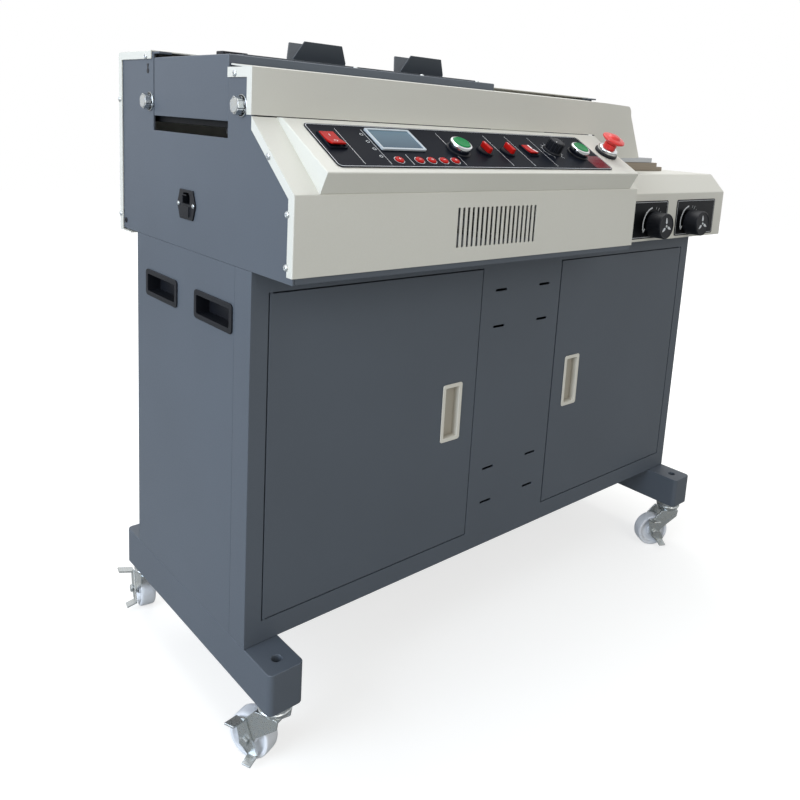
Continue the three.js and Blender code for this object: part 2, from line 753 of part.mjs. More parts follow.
function frontBand() {
  const low = cabinetTop + bandBottom;
  const high = cabinetTop + bandTop;
  const wingX = coverRight + wingSetback;
  const wingLow = cabinetTop + wingBottom;
  const bend = THREE.MathUtils.degToRad(wingAngle);
  const tip = wingX + wingLength * Math.cos(bend);
  const plan = [[tip, bandFace + wingLength * Math.sin(bend)], [wingX, bandFace], [-lipFace, bandFace],
    [-lipFace, slotFront - seat - 1]];
  const wrap = alongZ(foldedSheet(plan, sheet), wingLow, high);
  const belowLip = block([-lipFace - 1, -lipFace + sheet + 0.1], [bandFace + lipWidth, 0],
    [wingLow - 1, high - lipWidth]);
  const belowBand = block([-lipFace - 2, coverRight + seat], [bandFace - 1, 0], [wingLow - 1, low]);
  const slantTop = tip - wingSlant;
  const beyond = [[slantTop, high - wingCorner], [slantTop + 200, high - wingCorner], [tip + 200, wingLow - 1], [tip, wingLow - 1]];
  const flangeTop = high + bandFlangeRise;
  const flange = alongX([[bandFace + 0.1, high - sheet], [slotFront - seat, flangeTop - sheet],
    [slotFront - seat, flangeTop], [bandFace + 0.1, high]], -sideX + plate + seat, wingX);
  const trims = [beyond.reverse(), [[slantTop, high - wingCorner], [slantTop, high + 5], [slantTop + 200, high + 5],
    [slantTop + 200, high - wingCorner]].reverse()].map((points) => alongY(points, bandFace - 5, 0));
  return join(cut(wrap, belowLip, belowBand, ...trims, roundedCorner(slantTop, high)), flange);
}

// The sheet outside a rounded corner whose point is at x, z
function roundedCorner(x, z) {
  const r = wingCorner;
  const arc = Array.from({ length: 7 }, (_, i) => {
    const angle = THREE.MathUtils.degToRad(15 * i);
    return [x - r + r * Math.sin(angle), z - r + r * Math.cos(angle)];
  });
  return alongY([...arc, [x + 20, z - r], [x + 20, z + 5], [x - r, z + 5]], bandFace - 5, 0);
}

place('front_band', frontBand(), 'creamPaint');

// Control cover: sloped and upright sheet with the panel bulge, vents and an end lip

function controlCover() {
  const top = [bandFace - 0.5, cabinetTop + bandBottom - 1.5];
  const base = [[top[0], top[1]], [coverFront, cabinetTop + coverFaceTop], [coverFront, cabinetTop + coverFaceBottom],
    [top[0], cabinetTop + coverFaceBottom]];
  const under = [coverFront, cabinetTop + coverFaceTop + 1];
  const bulge = [[bandFace - 0.5, bulgeTopZ], [bulgeTopY, bulgeTopZ], [frontEdgeY, frontEdgeZ], under,
    [bandFace - 0.5, cabinetTop + coverFaceTop + 1]];
  const outer = join(alongX(base, -lipFace, coverRight), alongX(bulge, bulgeStartX, bulgeEndX));
  const hollowBase = offsetEdges(base, [sheet, sheet, -1, -1]);
  const hollowBulge = offsetEdges(bulge, [sheet, sheet, sheet, sheet, -1]);
  const lipHole = offsetEdges(base, [lipWidth, lipWidth, -1, -1]);
  let cover = cut(outer, alongX(hollowBase, -lipFace + sheet, coverRight - sheet),
    alongX(hollowBulge, bulgeStartX + sheet, bulgeEndX - sheet), alongX(lipHole, -lipFace - 1, -lipFace + sheet + 1));
  for (let i = 0; i < ventCount; i += 1) {
    const x = -sideX + ventFirst + i * ventPitch;
    const z = cabinetTop + ventBottom;
    cover = cover.subtract(block([x, x + ventWidth], [coverFront - 1, coverFront + sheet + 1], [z, z + ventHeight]));
  }
  return cover;
}

// Rear cover: folded sheet with a top flange, a bottom return and end lips

function rearCover() {
  const top = cabinetTop + rearCoverTop;
  const profile = [[rearFace - rearFlange, top], [rearFace, top], [rearFace, deckBottom - 4],
    [cabinetBack + 20, deckBottom - 4]];
  const cover = alongX(foldedSheet(profile, sheet), -lipFace, lipFace);
  const end = [[rearFace - rearFlange, top], [rearFace, top], [rearFace, deckBottom - 4],
    [rearFace - lipWidth, deckBottom - 4], [rearFace - lipWidth, top - lipWidth], [rearFace - rearFlange, top - lipWidth]];
  return join(cover, alongX(end, -lipFace, -lipFace + sheet), alongX(end, lipFace - sheet, lipFace));
}

place('rear_cover', rearCover(), 'creamPaint');

// Control panel: everything here is drawn flat, then laid on the slope of the bulge

const panel = new THREE.Group();
panel.position.set(bulgeStartX, frontEdgeY, frontEdgeZ);
panel.rotation.x = panelAngle;
machine.add(panel);
const panelPlane = new THREE.Matrix4().makeRotationX(panelAngle).setPosition(bulgeStartX, frontEdgeY, frontEdgeZ);

const overlayTop = seat + overlayThickness;
const alongFilm = (share) => overlayLeft + share * overlayLength;
const screenLeft = alongFilm(screenShare);
const stopPlace = bulgeLength - stopFromEnd;

function bezel({ share, up, width, length }) {
  const along = alongFilm(share);
  const rim = rockerClearance + bezelRim;
  const ring = alongZ(roundedRectangle(grown([along - width / 2, along + width / 2], rim),
    grown([up - length / 2, up + length / 2], rim), 2, 2), overlayTop - 0.2, overlayTop + bezelThickness);
  const well = block(grown([along - width / 2, along + width / 2], rockerClearance),
    grown([up - length / 2, up + length / 2], rockerClearance), [overlayTop, overlayTop + bezelThickness + 1]);
  return cut(ring, well);
}

function collar(along, up, radius, height, wall) {
  const ring = roundZ(radius, overlayTop - 0.2, overlayTop + height, along, up);
  return cut(ring, roundZ(radius - wall, overlayTop, overlayTop + height + 1, along, up));
}

function panelOverlay() {
  const across = [overlayLeft, overlayLeft + overlayLength];
  const upright = [overlayBottom, overlayBottom + overlayHeight];
  const film = alongZ(roundedRectangle(across, upright, overlayCorner), seat, overlayTop);
  const keys = keyShares.map((share) => solidOf(new THREE.CylinderGeometry(keyRadius - 1, keyRadius, keyHeight + 0.2, 8)
    .rotateX(Math.PI / 2).translate(alongFilm(share), keyLine, overlayTop + keyHeight / 2 - 0.1)));
  const bezels = [bezel(powerRocker), bezel(modeRocker)];
  const collars = Object.values(buttonShares).map(
    (share) => collar(alongFilm(share), buttonLine, collarRadius, collarHeight, collarWall));
  const rings = Object.values(selectorShares).map((share) => collar(alongFilm(share), selectorLine, selectorCollar,
    bezelThickness, selectorCollar - selectorRadius - running));
  return join(film, ...keys, ...bezels, ...collars, ...rings);
}

place('panel_overlay', panelOverlay(), 'panelFilm', panel);

function screen() {
  const base = overlayTop + seat;
  const across = [screenLeft, screenLeft + screenWidth];
  const upright = [screenBottom, screenBottom + screenHeight];
  const frame = alongZ(roundedRectangle(across, upright, 2, 2), base, base + screenThickness);
  return cut(frame, block(grown(across, -3), grown(upright, -3), [base + screenThickness - 1, base + screenThickness + 1]));
}

place('lcd_display', screen(), 'screenGlass', panel);

// A rocker tilts about a line across its middle; it is drawn level, then set at its off position
function rocker(name, { share, up, width, length }) {
  const lift = Math.tan(THREE.MathUtils.degToRad(rockerTilt + 1.5)) * (length / 2);
  const low = seat;
  const side = [[-length / 2, low + lift], [0, low], [length / 2, low + lift],
    [length / 2, low + lift + 5], [0, low + 5.2], [-length / 2, low + lift + 5]];
  const pivot = new THREE.Group();
  pivot.position.set(alongFilm(share), up, overlayTop);
  pivot.rotation.x = THREE.MathUtils.degToRad(-rockerTilt);
  panel.add(pivot);
  place(name, alongX(side, -width / 2, width / 2), 'redPlastic', pivot);
}

rocker('power_rocker', powerRocker);
rocker('mode_rocker', modeRocker);

function selector(share) {
  const base = overlayTop + seat;
  const disc = roundZ(selectorRadius, base, base + selectorDisc, 0, 0);
  const bar = alongZ(roundedRectangle([-selectorBar / 2, selectorBar / 2],
    [-selectorRadius - 1, selectorRadius + 1], selectorBar / 2 - 0.5), base + selectorDisc - 0.5, base + selectorHandle);
  return join(disc, bar).translate([alongFilm(share), selectorLine, 0]);
}

place('selector_left', selector(selectorShares.left), 'redPlastic', panel);
place('selector_right', selector(selectorShares.right), 'redPlastic', panel);

function pushButton(share) {
  const radius = collarRadius - collarWall - running;
  const low = overlayTop + buttonTravel + running;
  const cap = turnedZ([[0, low], [radius, low], [radius, overlayTop + collarHeight + 1],
    [radius - 1.5, overlayTop + collarHeight + 2.2], [0, overlayTop + collarHeight + 2.2]]);
  return cap.translate([alongFilm(share), buttonLine, 0]);
}

place('start_button', pushButton(buttonShares.start), 'greenPlastic', panel);
place('clamp_button', pushButton(buttonShares.clamp), 'greenPlastic', panel);

function speedKnob() {
  const base = overlayTop + seat;
  const flutes = Array.from({ length: fluteCount * 4 }, (_, i) => {
    const angle = (2 * Math.PI * i) / (fluteCount * 4);
    const radius = speedKnobRadius - (i % 4 < 2 ? 0 : 1.4);
    return [radius * Math.cos(angle), radius * Math.sin(angle)];
  });
  const skirt = roundZ(speedKnobRadius + 1.5, base, base + 3, 0, 0, 20);
  const grip = alongZ(flutes, base, base + speedKnobHeight - 2);
  const cap = roundZ(speedKnobRadius - 2.2, base, base + speedKnobHeight, 0, 0, 20);
  return join(skirt, grip, cap).translate([alongFilm(speedKnobShare), speedKnobLine, 0]);
}

place('speed_knob', speedKnob(), 'blackPlastic', panel);

// Emergency stop: the collar belongs to the cover, the stem slides in it and the cap turns on the stem

function stopCollar() {
  const ring = turnedZ([[0, -sheet / 2], [stopCollarRadius, -sheet / 2], [stopCollarRadius, stopCollarHeight / 2],
    [stopCollarRadius - 1.5, stopCollarHeight], [0, stopCollarHeight]], 28);
  const bore = roundZ(stopNeckRadius + running, seat, stopCollarHeight + 1, 0, 0, 28);
  return cut(ring, bore).translate([stopPlace, stopLine, 0]);
}

const coverWithCollar = controlCover().add(stopCollar().transform(panelPlane.elements));
place('control_cover', coverWithCollar, 'creamPaint');

const stopNeckTop = stopHeight - 14;

function stopStem() {
  const low = stopTravel + 2 * running;
  return roundZ(stopNeckRadius, low, stopNeckTop, stopPlace, stopLine, 28);
}

function stopCap() {
  const low = stopNeckTop + seat;
  const profile = [[0, low], [stopNeckRadius + 1, low], [stopCapRadius - 1, low + 4], [stopCapRadius, low + 6],
    [stopCapRadius - 1.5, low + 9], [stopCapRadius - 8, stopHeight - 1], [0, stopHeight]];
  return turnedZ(profile, 28).translate([stopPlace, stopLine, 0]);
}

place('stop_stem', stopStem(), 'redPlastic', panel);
place('stop_cap', stopCap(), 'redPlastic', panel);

// Console shell at the right end, open underneath and notched behind the wing

function consoleShell() {
  const low = cabinetTop + seat;
  const face = [[consoleFrontY, cabinetTop + consoleFaceHeight], [consoleFrontY, low], [consoleRear, low],
    [consoleRear, consoleTop], [consoleFrontY + consoleSlopeDepth, consoleTop]];
  const outer = alongX(face, consoleLeft, consoleRight);
  const hollow = alongX(offsetEdges(face, [sheet, -1, sheet, sheet, sheet]), consoleLeft + sheet, consoleRight - sheet);
  const notch = block([consoleLeft - 1, consoleNotchX], [rodFrontY - washerRadius - 3, consoleRear + 1],
    [low - 1, consoleTop + 1]);
  const overDeck = block([consoleLeft - 1, sideX + seat], [consoleFrontY + sheet, consoleRear + 1],
    [low - 1, deckTop + seat]);
  const holes = Object.values(knobPlaces).map((x) => roundY(knobShaft + running, consoleFrontY - 1,
    consoleFrontY + sheet + 1, x, cabinetTop + knobHeightZ, 16));
  return cut(outer, hollow, notch, overDeck, ...holes);
}

place('console_shell', consoleShell(), 'creamPaint');

function consoleKnob(x) {
  const back = consoleFrontY - 2.2;
  const front = consoleFrontY - knobLength;
  const profile = [[0, front], [knobRadius - 2.5, front], [knobRadius - 1, front + 2], [knobRadius, back - 1],
    [knobRadius - 0.5, back], [0, back]];
  const body = new THREE.LatheGeometry(profile.map(([r, h]) => new THREE.Vector2(r, h)), 24);
  const knob = solidOf(body.translate(x, 0, cabinetTop + knobHeightZ));
  return join(knob, roundY(knobShaft, back - 1, consoleFrontY + sheet + 5, x, cabinetTop + knobHeightZ, 16));
}

place('guide_knob', consoleKnob(knobPlaces.guide), 'blackPlastic');
place('nip_knob', consoleKnob(knobPlaces.nip), 'blackPlastic');

// Nipping table: base plate with its fixed front nip, the cover guide on it, and the moving rear nip

const nipTop = tableTop + seat + nipThickness;

function nipTable() {
  return block([tableLeft, tableRight], [tableFrontY, tableRearY], [consoleTop + seat, tableTop]);
}

function frontNip() {
  return block([tableLeft, tableRight - plateStep], [tableFrontY, tableFrontY + nipDepth], [tableTop - 1, nipTop]);
}

function coverGuide() {
  const low = nipTop + seat;
  const right = tableRight - 2 * plateStep;
  const rear = tableFrontY + nipDepth;
  return alongZ([[tableLeft + 4, tableFrontY], [right, tableFrontY], [right, rear - 16], [right - 20, rear],
    [tableLeft + 4, rear]], low, low + guideThickness);
}

function rearNip() {
  const front = tableFrontY + nipDepth + nipOpening;
  const low = tableTop + seat;
  const high = low + nipThickness + guideThickness;
  return alongX([[front, low], [front + nipRearDepth, low], [front + nipRearDepth, high - 5], [front + 12, high],
    [front, high]], tableLeft + 4, tableRight - plateStep);
}

place('nip_table', join(nipTable(), frontNip()), 'bronzePlate');
place('cover_guide', coverGuide(), 'castAluminium');
place('nip_plate_rear', rearNip(), 'bronzePlate');

// Carriage: frame plate with four bearing blocks, and its sheet cover

const carriageLeft = -sideX + seat;
const carriageRight = carriageLeft + carriageLength;
const coverLow = cabinetTop + carriageBottom;
const coverHigh = cabinetTop + carriageTop;
const frameTop = coverLow - seat;
const frameLow = frameTop - framePlate;
const jawX = [carriageLeft + jawLeft, carriageLeft + jawLeft + jawLength];
const throatY = [jawFaceY - jawPlate - seat, jawFaceY + bookGap + jawPlate + clampTravel + 4];

function carriageFrame() {
  const inside = -sideX + plate + 6;
  const body = block([inside, carriageRight - 6], grown([carriageFrontY, carriageRearY], -2), [frameLow, frameTop]);
  const throat = block(grown(jawX, 4), throatY, [frameLow - 1, frameTop + 1]);
  const reach = { front: [rodFrontY - rodRadius - 8, carriageFrontY + 10], rear: [carriageRearY - 10, rodRearY + rodRadius + 8] };
  const towers = { front: [reach.front[0], rodFrontY + rodRadius + 8], rear: [carriageRearY + seat, reach.rear[1]] };
  let frame = cut(body, throat);
  for (const side of ['front', 'rear']) {
    for (const start of bearingPlaces[side]) {
      const span = [carriageLeft + start, carriageLeft + start + bearingLength];
      const arm = block(span, reach[side], [frameLow, frameTop]);
      const tower = block(span, towers[side], [frameLow, frameLow + bearingHeight]);
      const y = side === 'front' ? rodFrontY : rodRearY;
      frame = join(frame, arm, tower).subtract(roundX(rodRadius + running, span[0] - 1, span[1] + 1, y, rodZ));
    }
  }
  return frame;
}

function carriageCover() {
  const x = [carriageLeft, carriageRight];
  const y = [carriageFrontY, carriageRearY];
  const shell = cut(block(x, y, [coverLow, coverHigh]),
    block(grown(x, -sheet), grown(y, -sheet), [coverLow - 1, coverHigh - sheet]));
  return cut(shell, block(grown(jawX, 2), throatY, [coverHigh - sheet - 1, coverHigh + 1]));
}

place('carriage_frame', carriageFrame(), 'castAluminium');
place('carriage_cover', carriageCover(), 'greyPaint');

// Clamp jaws: a fixed front jaw and a moving rear jaw, each with a flange and two funnel wings

const jawTop = coverHigh + seat;

function funnelWing(start, y, lean) {
  const x0 = carriageLeft + start;
  const x1 = x0 + funnelLength;
  const low = jawTop + funnelSheet - 0.4;
  const high = jawTop + funnelHeight;
  const side = foldedSheet([[y, low], [y + lean, high]], Math.sign(lean) * funnelSheet);
  const leaf = alongX(side, x0, x1);
  const trims = [[[x0 - 1, low + 4], [x0 + funnelTaper, high + 3], [x0 - 1, high + 3]],
    [[x1 + 1, low + 4], [x1 + 1, high + 3], [x1 - funnelTaper, high + 3]]];
  return cut(leaf, ...trims.map((points) => alongY(points, y - 60, y + 60)));
}

function frontJaw() {
  const low = coverLow - jawDrop;
  const face = block(jawX, [jawFaceY - jawPlate, jawFaceY], [low, jawTop + sheet]);
  const flange = block(grown(jawX, 4), [jawFaceY - jawFlange, jawFaceY], [jawTop, jawTop + sheet]);
  const tie = block([jawX[0] + 20, jawX[1] - 20], [jawFaceY - jawPlate - 0.2, jawFaceY - jawPlate + 1],
    [frameLow, frameTop]);
  const wings = funnelPlaces.map((start) => funnelWing(start, jawFaceY - 0.5, -funnelLeanFront));
  return join(face, flange, tie, ...wings);
}

function rearJaw() {
  const y = jawFaceY + bookGap;
  const low = coverLow - jawDrop;
  const face = block(jawX, [y, y + jawPlate], [low, jawTop + sheet]);
  const flange = block(grown(jawX, 2), [y, y + jawFlange], [jawTop, jawTop + sheet]);
  const wings = funnelPlaces.map((start) => funnelWing(start, y + 0.5, funnelLeanRear));
  return join(face, flange, ...wings);
}

place('clamp_jaw_front', frontJaw(), 'greyPaint');
place('clamp_jaw_rear', rearJaw(), 'greyPaint');

// Milling head: motor on the deck with a toothed cutter on its spindle

const cutterHigh = cabinetTop + cutterTop;
const cutterLow = cutterHigh - cutterThickness;

function millingMotor() {
  const foot = block([cutterX - 52, cutterX + 52], [workY - 52, workY + 52], [deckTop + seat, deckTop + seat + 8]);
  const body = roundZ(motorRadius, deckTop + seat, deckTop + motorHeight, cutterX, workY, 32);
  const neck = roundZ(spindleRadius + 12, deckTop + motorHeight - 1, cutterLow - 10, cutterX, workY);
  const spindle = roundZ(spindleRadius, cutterLow - 11, cutterHigh + 1, cutterX, workY, 20);
  return join(foot, body, neck, spindle);
}

function millingCutter() {
  const rim = Array.from({ length: cutterTeeth * 3 }, (_, i) => {
    const angle = (2 * Math.PI * i) / (cutterTeeth * 3);
    const radius = cutterRadius - [0, 5, 5][i % 3];
    return [radius * Math.cos(angle), radius * Math.sin(angle)];
  });
  const disc = alongZ(rim, cutterLow, cutterHigh);
  const hub = roundZ(spindleRadius + 8, cutterLow - 6, cutterHigh, 0, 0);
  const bore = roundZ(spindleRadius + running, cutterLow - 8, cutterHigh + 1, 0, 0, 20);
  return cut(join(disc, hub), bore).translate([cutterX, workY, 0]);
}

place('milling_motor', millingMotor(), 'darkPlate');
place('milling_cutter', millingCutter(), 'groundSteel');

// Glue tank on legs with a roller across it

const rollerZ = cutterHigh - rollerRadius;
const tankMiddle = tankLeft + tankLength / 2;
const tankHigh = rollerZ + 9;

function glueTank() {
  const x = [tankLeft, tankLeft + tankLength];
  const y = [workY - tankDepth / 2, workY + tankDepth / 2];
  const z = [tankHigh - tankHeight, tankHigh];
  const tank = cut(block(x, y, z), block(grown(x, -tankWall), grown(y, -tankWall), [z[0] + tankWall, z[1] + 1]));
  const ends = [y[0], y[1] - tankWall].map((y0) => block([tankMiddle - 16, tankMiddle + 16], [y0, y0 + tankWall],
    [z[1] - 1, rollerZ + rollerShaft + 6]));
  const legs = [x[0] + 4, x[1] - 16].flatMap((lx) => [y[0] + 6, y[1] - 18].map(
    (ly) => block([lx, lx + 12], [ly, ly + 12], [deckTop + seat, z[0] + 1])));
  const bore = roundY(rollerShaft + running, y[0] - 1, y[1] + 1, tankMiddle, rollerZ, 20);
  return cut(join(tank, ...ends, ...legs), bore);
}

function glueRoller() {
  const half = rollerLength / 2;
  const drum = roundY(rollerRadius, workY - half, workY + half, tankMiddle, rollerZ, 32);
  const shaft = roundY(rollerShaft, workY - tankDepth / 2 - 2, workY + tankDepth / 2 + 2, tankMiddle, rollerZ, 20);
  return join(drum, shaft);
}

place('glue_tank', glueTank(), 'castAluminium');
place('glue_roller', glueRoller(), 'groundSteel');

// Power inlet: six-sided flange with two screw ears, the socket above and the fuse drawer below it

function powerInlet() {
  const z = deckBottom + inletHeight;
  const face = -sideX - seat - inletFlange;
  const across = [inletY - inletWidth / 2, inletY + inletWidth / 2];
  const upright = [z - inletTall / 2, z + inletTall / 2];
  const flat = [inletY - inletFlat / 2, inletY + inletFlat / 2];
  const flange = alongX([[across[0], z - 2], [flat[0], upright[0]], [flat[1], upright[0]], [across[1], z - 2],
    [across[1], z + 2], [flat[1], upright[1]], [flat[0], upright[1]], [across[0], z + 2]], face, face + inletFlange);
  const body = block([face, face + inletDepth], grown(across, -inletEar), grown(upright, -3));
  const socketY = grown(across, -inletEar - 3);
  const socketZ = [z + 1, z + 16];
  const socket = alongX([[socketY[0], socketZ[0]], [socketY[1], socketZ[0]], [socketY[1], socketZ[1] - 5],
    [socketY[1] - 4, socketZ[1]], [socketY[0] + 4, socketZ[1]], [socketY[0], socketZ[1] - 5]], face - 1, face + inletDepth - 4);
  const drawer = block([face - 2, face + 1], socketY, [z - 16, z - 2]);
  return join(cut(join(flange, body), socket), drawer);
}

place('power_inlet', powerInlet(), 'blackPlastic');

// The part's own origin is on the floor, under the middle of the whole machine

const reach = new THREE.Box3().setFromObject(machine, true);
machine.position.set(-(reach.min.x + reach.max.x) / 2, -(reach.min.y + reach.max.y) / 2, 0);

export default machine;
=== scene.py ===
"""The looks of a floor-standing thermal binding machine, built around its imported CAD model."""
import math

import bmesh
import bpy
from mathutils import Matrix, Vector
from mathutils.geometry import intersect_point_line


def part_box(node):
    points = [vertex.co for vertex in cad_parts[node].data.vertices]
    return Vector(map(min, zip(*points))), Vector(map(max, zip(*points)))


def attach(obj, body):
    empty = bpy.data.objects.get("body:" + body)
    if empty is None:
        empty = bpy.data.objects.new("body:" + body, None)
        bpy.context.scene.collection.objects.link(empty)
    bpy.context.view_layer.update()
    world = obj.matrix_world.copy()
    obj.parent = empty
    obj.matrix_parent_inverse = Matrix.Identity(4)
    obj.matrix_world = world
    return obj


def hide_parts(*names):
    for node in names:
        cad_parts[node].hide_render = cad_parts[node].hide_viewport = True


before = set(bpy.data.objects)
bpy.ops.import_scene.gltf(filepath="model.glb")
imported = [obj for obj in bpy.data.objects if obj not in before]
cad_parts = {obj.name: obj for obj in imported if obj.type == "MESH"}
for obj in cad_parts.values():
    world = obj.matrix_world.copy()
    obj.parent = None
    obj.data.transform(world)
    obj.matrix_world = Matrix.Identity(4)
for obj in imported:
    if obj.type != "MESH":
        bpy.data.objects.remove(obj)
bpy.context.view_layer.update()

bpy.ops.object.select_all(action="DESELECT")

# The room: a pale studio floor and soft light, brighter from the left than from the front.
# Sizes are written in millimetres from the middle of the cabinet and of its feet, as on the
# machine's drawing, and at() gives that point in the frame.
(foot_low, foot_high), (_, right_high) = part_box("foot_left"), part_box("foot_right")
middle = Vector(((foot_low.x + right_high.x) / 2, (foot_low.y + foot_high.y) / 2, 0))


def at(x, y, z):
    """The point of the frame at millimetres from the middle."""
    return middle + Vector((x, y, z)) / 1000


def linear(code):
    """An sRGB hex colour as linear RGBA."""
    parts = [int(code[i:i + 2], 16) / 255 for i in (1, 3, 5)]
    return [p / 12.92 if p <= 0.04045 else ((p + 0.055) / 1.055) ** 2.4 for p in parts] + [1]


def add(tree, kind, settings=None, links=None):
    """Adds a node, sets its fields or sockets, and joins other outputs to its sockets."""
    node = tree.nodes.new(kind)
    for key, value in (settings or {}).items():
        if isinstance(key, str) and key in node.bl_rna.properties:
            setattr(node, key, value)
        else:
            node.inputs[key].default_value = value
    for key, source in (links or {}).items():
        tree.links.new(source, node.inputs[key])
    return node


def blank(name):
    """A new material with an empty node tree."""
    material = bpy.data.materials.new(name)
    material.use_nodes = True
    material.node_tree.nodes.clear()
    return material, material.node_tree


# The floor keeps a soft shadow round the castors and runs out into the white of the backdrop
# between half a metre and a metre and a half away.
studio_floor, tree = blank("matt_studio_floor")
path = add(tree, "ShaderNodeLightPath")
spot = add(tree, "ShaderNodeTexCoord").outputs["Object"]
away = add(tree, "ShaderNodeVectorMath", {"operation": "LENGTH"}, {0: spot})
glow = add(tree, "ShaderNodeMapRange",
           {"From Min": 0.5, "From Max": 1.5, "To Min": 0.68, "To Max": 1.0},
           {"Value": away.outputs["Value"]})
white = add(tree, "ShaderNodeMath", {"operation": "MULTIPLY"},
            {0: glow.outputs[0], 1: path.outputs["Is Camera Ray"]})
matt = add(tree, "ShaderNodeBsdfDiffuse", {"Color": linear("#b6b6b2")})
lit = add(tree, "ShaderNodeEmission", {"Color": (1, 1, 1, 1)}, {"Strength": white.outputs[0]})
shader = add(tree, "ShaderNodeAddShader", {}, {0: matt.outputs[0], 1: lit.outputs[0]})
add(tree, "ShaderNodeOutputMaterial", {}, {"Surface": shader.outputs[0]})

bpy.ops.mesh.primitive_plane_add(size=14)
floor = bpy.context.object
floor.name = "studio_floor"
floor.data.materials.append(studio_floor)

# The camera, glass and gloss see a white room, and the machine is filled in by a grey one
fill_light, white_light = (0.40, 0.41, 0.43, 1), (1, 1, 1, 1)
world = bpy.data.worlds.new("studio")
bpy.context.scene.world = world
world.use_nodes = True
world.node_tree.nodes.clear()
path = add(world.node_tree, "ShaderNodeLightPath")
straight = add(world.node_tree, "ShaderNodeMath", {"operation": "MAXIMUM"},
               {0: path.outputs["Is Camera Ray"], 1: path.outputs["Is Transmission Ray"]})
seen = add(world.node_tree, "ShaderNodeMath", {"operation": "MAXIMUM"},
           {0: straight.outputs[0], 1: path.outputs["Is Glossy Ray"]})
tone = add(world.node_tree, "ShaderNodeMix", {"data_type": "RGBA", 6: fill_light, 7: white_light},
           {0: seen.outputs[0]})
sky = add(world.node_tree, "ShaderNodeBackground", {"Strength": 1.0}, {"Color": tone.outputs[2]})
add(world.node_tree, "ShaderNodeOutputWorld", {}, {"Surface": sky.outputs[0]})

# Three soft boxes: each one's place and aim in metres, its width in metres and its power in watts
for name, place, target, size, power, colour in (
        ("left_softbox", (-3.4, -0.2, 1.6), (0, 0, 0.5), 2.4, 98, "#e2eeff"),
        ("front_softbox", (-1.1, -4.2, 2.7), (0, 0, 0.5), 2.6, 43, "#fffaf3"),
        ("top_softbox", (0.2, 0.9, 3.5), (0, 0, 0.6), 2.6, 62, "#ffffff")):
    lamp = bpy.data.lights.new(name, "AREA")
    lamp.size, lamp.energy, lamp.color = size, power, linear(colour)[:3]
    holder = bpy.data.objects.new(name, lamp)
    holder.location = place
    holder.rotation_euler = (Vector(target) - Vector(place)).to_track_quat("-Z", "Y").to_euler()
    bpy.context.scene.collection.objects.link(holder)

# The camera stands left of the machine at the height of its deck, as in the photograph. Its
# picture is 800 pixels square, and its focal length and the foot of its axis are given in pixels.
picture, focal_length, axis_x, axis_y, sensor = 800, 785.53, 426.25, 265.08, 36
stand = at(-976.0, -988.4, 851.5)
yaw, pitch, roll = math.radians(42.447), math.radians(10.217), math.radians(3.464)
camera = bpy.data.objects.new("camera", bpy.data.cameras.new("camera"))
bpy.context.scene.collection.objects.link(camera)
bpy.context.scene.camera = camera
camera.data.sensor_width = sensor
camera.data.lens = focal_length / picture * sensor
camera.data.shift_x = (picture / 2 - axis_x) / picture
camera.data.shift_y = (axis_y - picture / 2) / picture
camera.matrix_world = (Matrix.Translation(stand) @ Matrix.Rotation(-yaw, 4, "Z")
                       @ Matrix.Rotation(math.pi / 2 - pitch, 4, "X") @ Matrix.Rotation(roll, 4, "Z"))
camera.data.clip_start, camera.data.clip_end = 0.05, 60
bpy.context.scene.view_settings.view_transform = "Standard"


# Feet: two square steel tubes across the machine's ends, closed with welded plates.
# Powder coated dark grey: the coat is baked on over blasted steel, so it shows a fine
# orange peel and a soft even sheen.


def powder_coat(name, dark, light, rough_low, rough_high):
    """A baked powder coat, slightly clouded, with its orange peel in the gloss and the bump."""
    material, tree = blank(name)
    spot = add(tree, "ShaderNodeTexCoord").outputs["Object"]
    # The peel is 0.4 mm across, drawn 2 mm coarse so that it shows, and the clouds are 200 mm wide
    peel = add(tree, "ShaderNodeTexNoise", {"Scale": 500, "Detail": 3, "Roughness": 0.6}, {"Vector": spot})
    cloud = add(tree, "ShaderNodeTexNoise", {"Scale": 5, "Detail": 2}, {"Vector": spot})
    tone = add(tree, "ShaderNodeMix", {"data_type": "RGBA", 6: linear(dark), 7: linear(light)},
               {0: cloud.outputs["Fac"]})
    fleck = add(tree, "ShaderNodeMix", {"data_type": "RGBA", "blend_type": "OVERLAY", 0: 0.07},
                {6: tone.outputs[2], 7: peel.outputs["Fac"]})
    sheen = add(tree, "ShaderNodeMapRange",
                {"From Min": 0.3, "From Max": 0.7, "To Min": rough_low, "To Max": rough_high},
                {"Value": peel.outputs["Fac"]})
    bump = add(tree, "ShaderNodeBump", {"Strength": 0.12, "Distance": 0.0002},
               {"Height": peel.outputs["Fac"]})
    shader = add(tree, "ShaderNodeBsdfPrincipled", {"IOR": 1.5},
                 {"Base Color": fleck.outputs[2], "Roughness": sheen.outputs[0], "Normal": bump.outputs[0]})
    add(tree, "ShaderNodeOutputMaterial", {}, {"Surface": shader.outputs[0]})
    return material


def edit(piece):
    """Opens a piece alone in edit mode with all of it selected."""
    bpy.ops.object.select_all(action="DESELECT")
    bpy.context.view_layer.objects.active = piece
    piece.select_set(True)
    bpy.ops.object.mode_set(mode="EDIT")
    bpy.ops.mesh.select_all(action="SELECT")


def bevel_by(piece, width, segments, limit):
    """Bevels a piece's edges of 30 degrees and more, or its weighted ones, by millimetres."""
    bevel = piece.modifiers.new("broken_edges", "BEVEL")
    bevel.width, bevel.segments, bevel.limit_method = width / 1000, segments, limit
    bevel.angle_limit, bevel.use_clamp_overlap = math.radians(30), limit == "ANGLE"
    bpy.ops.object.modifier_apply(modifier=bevel.name)


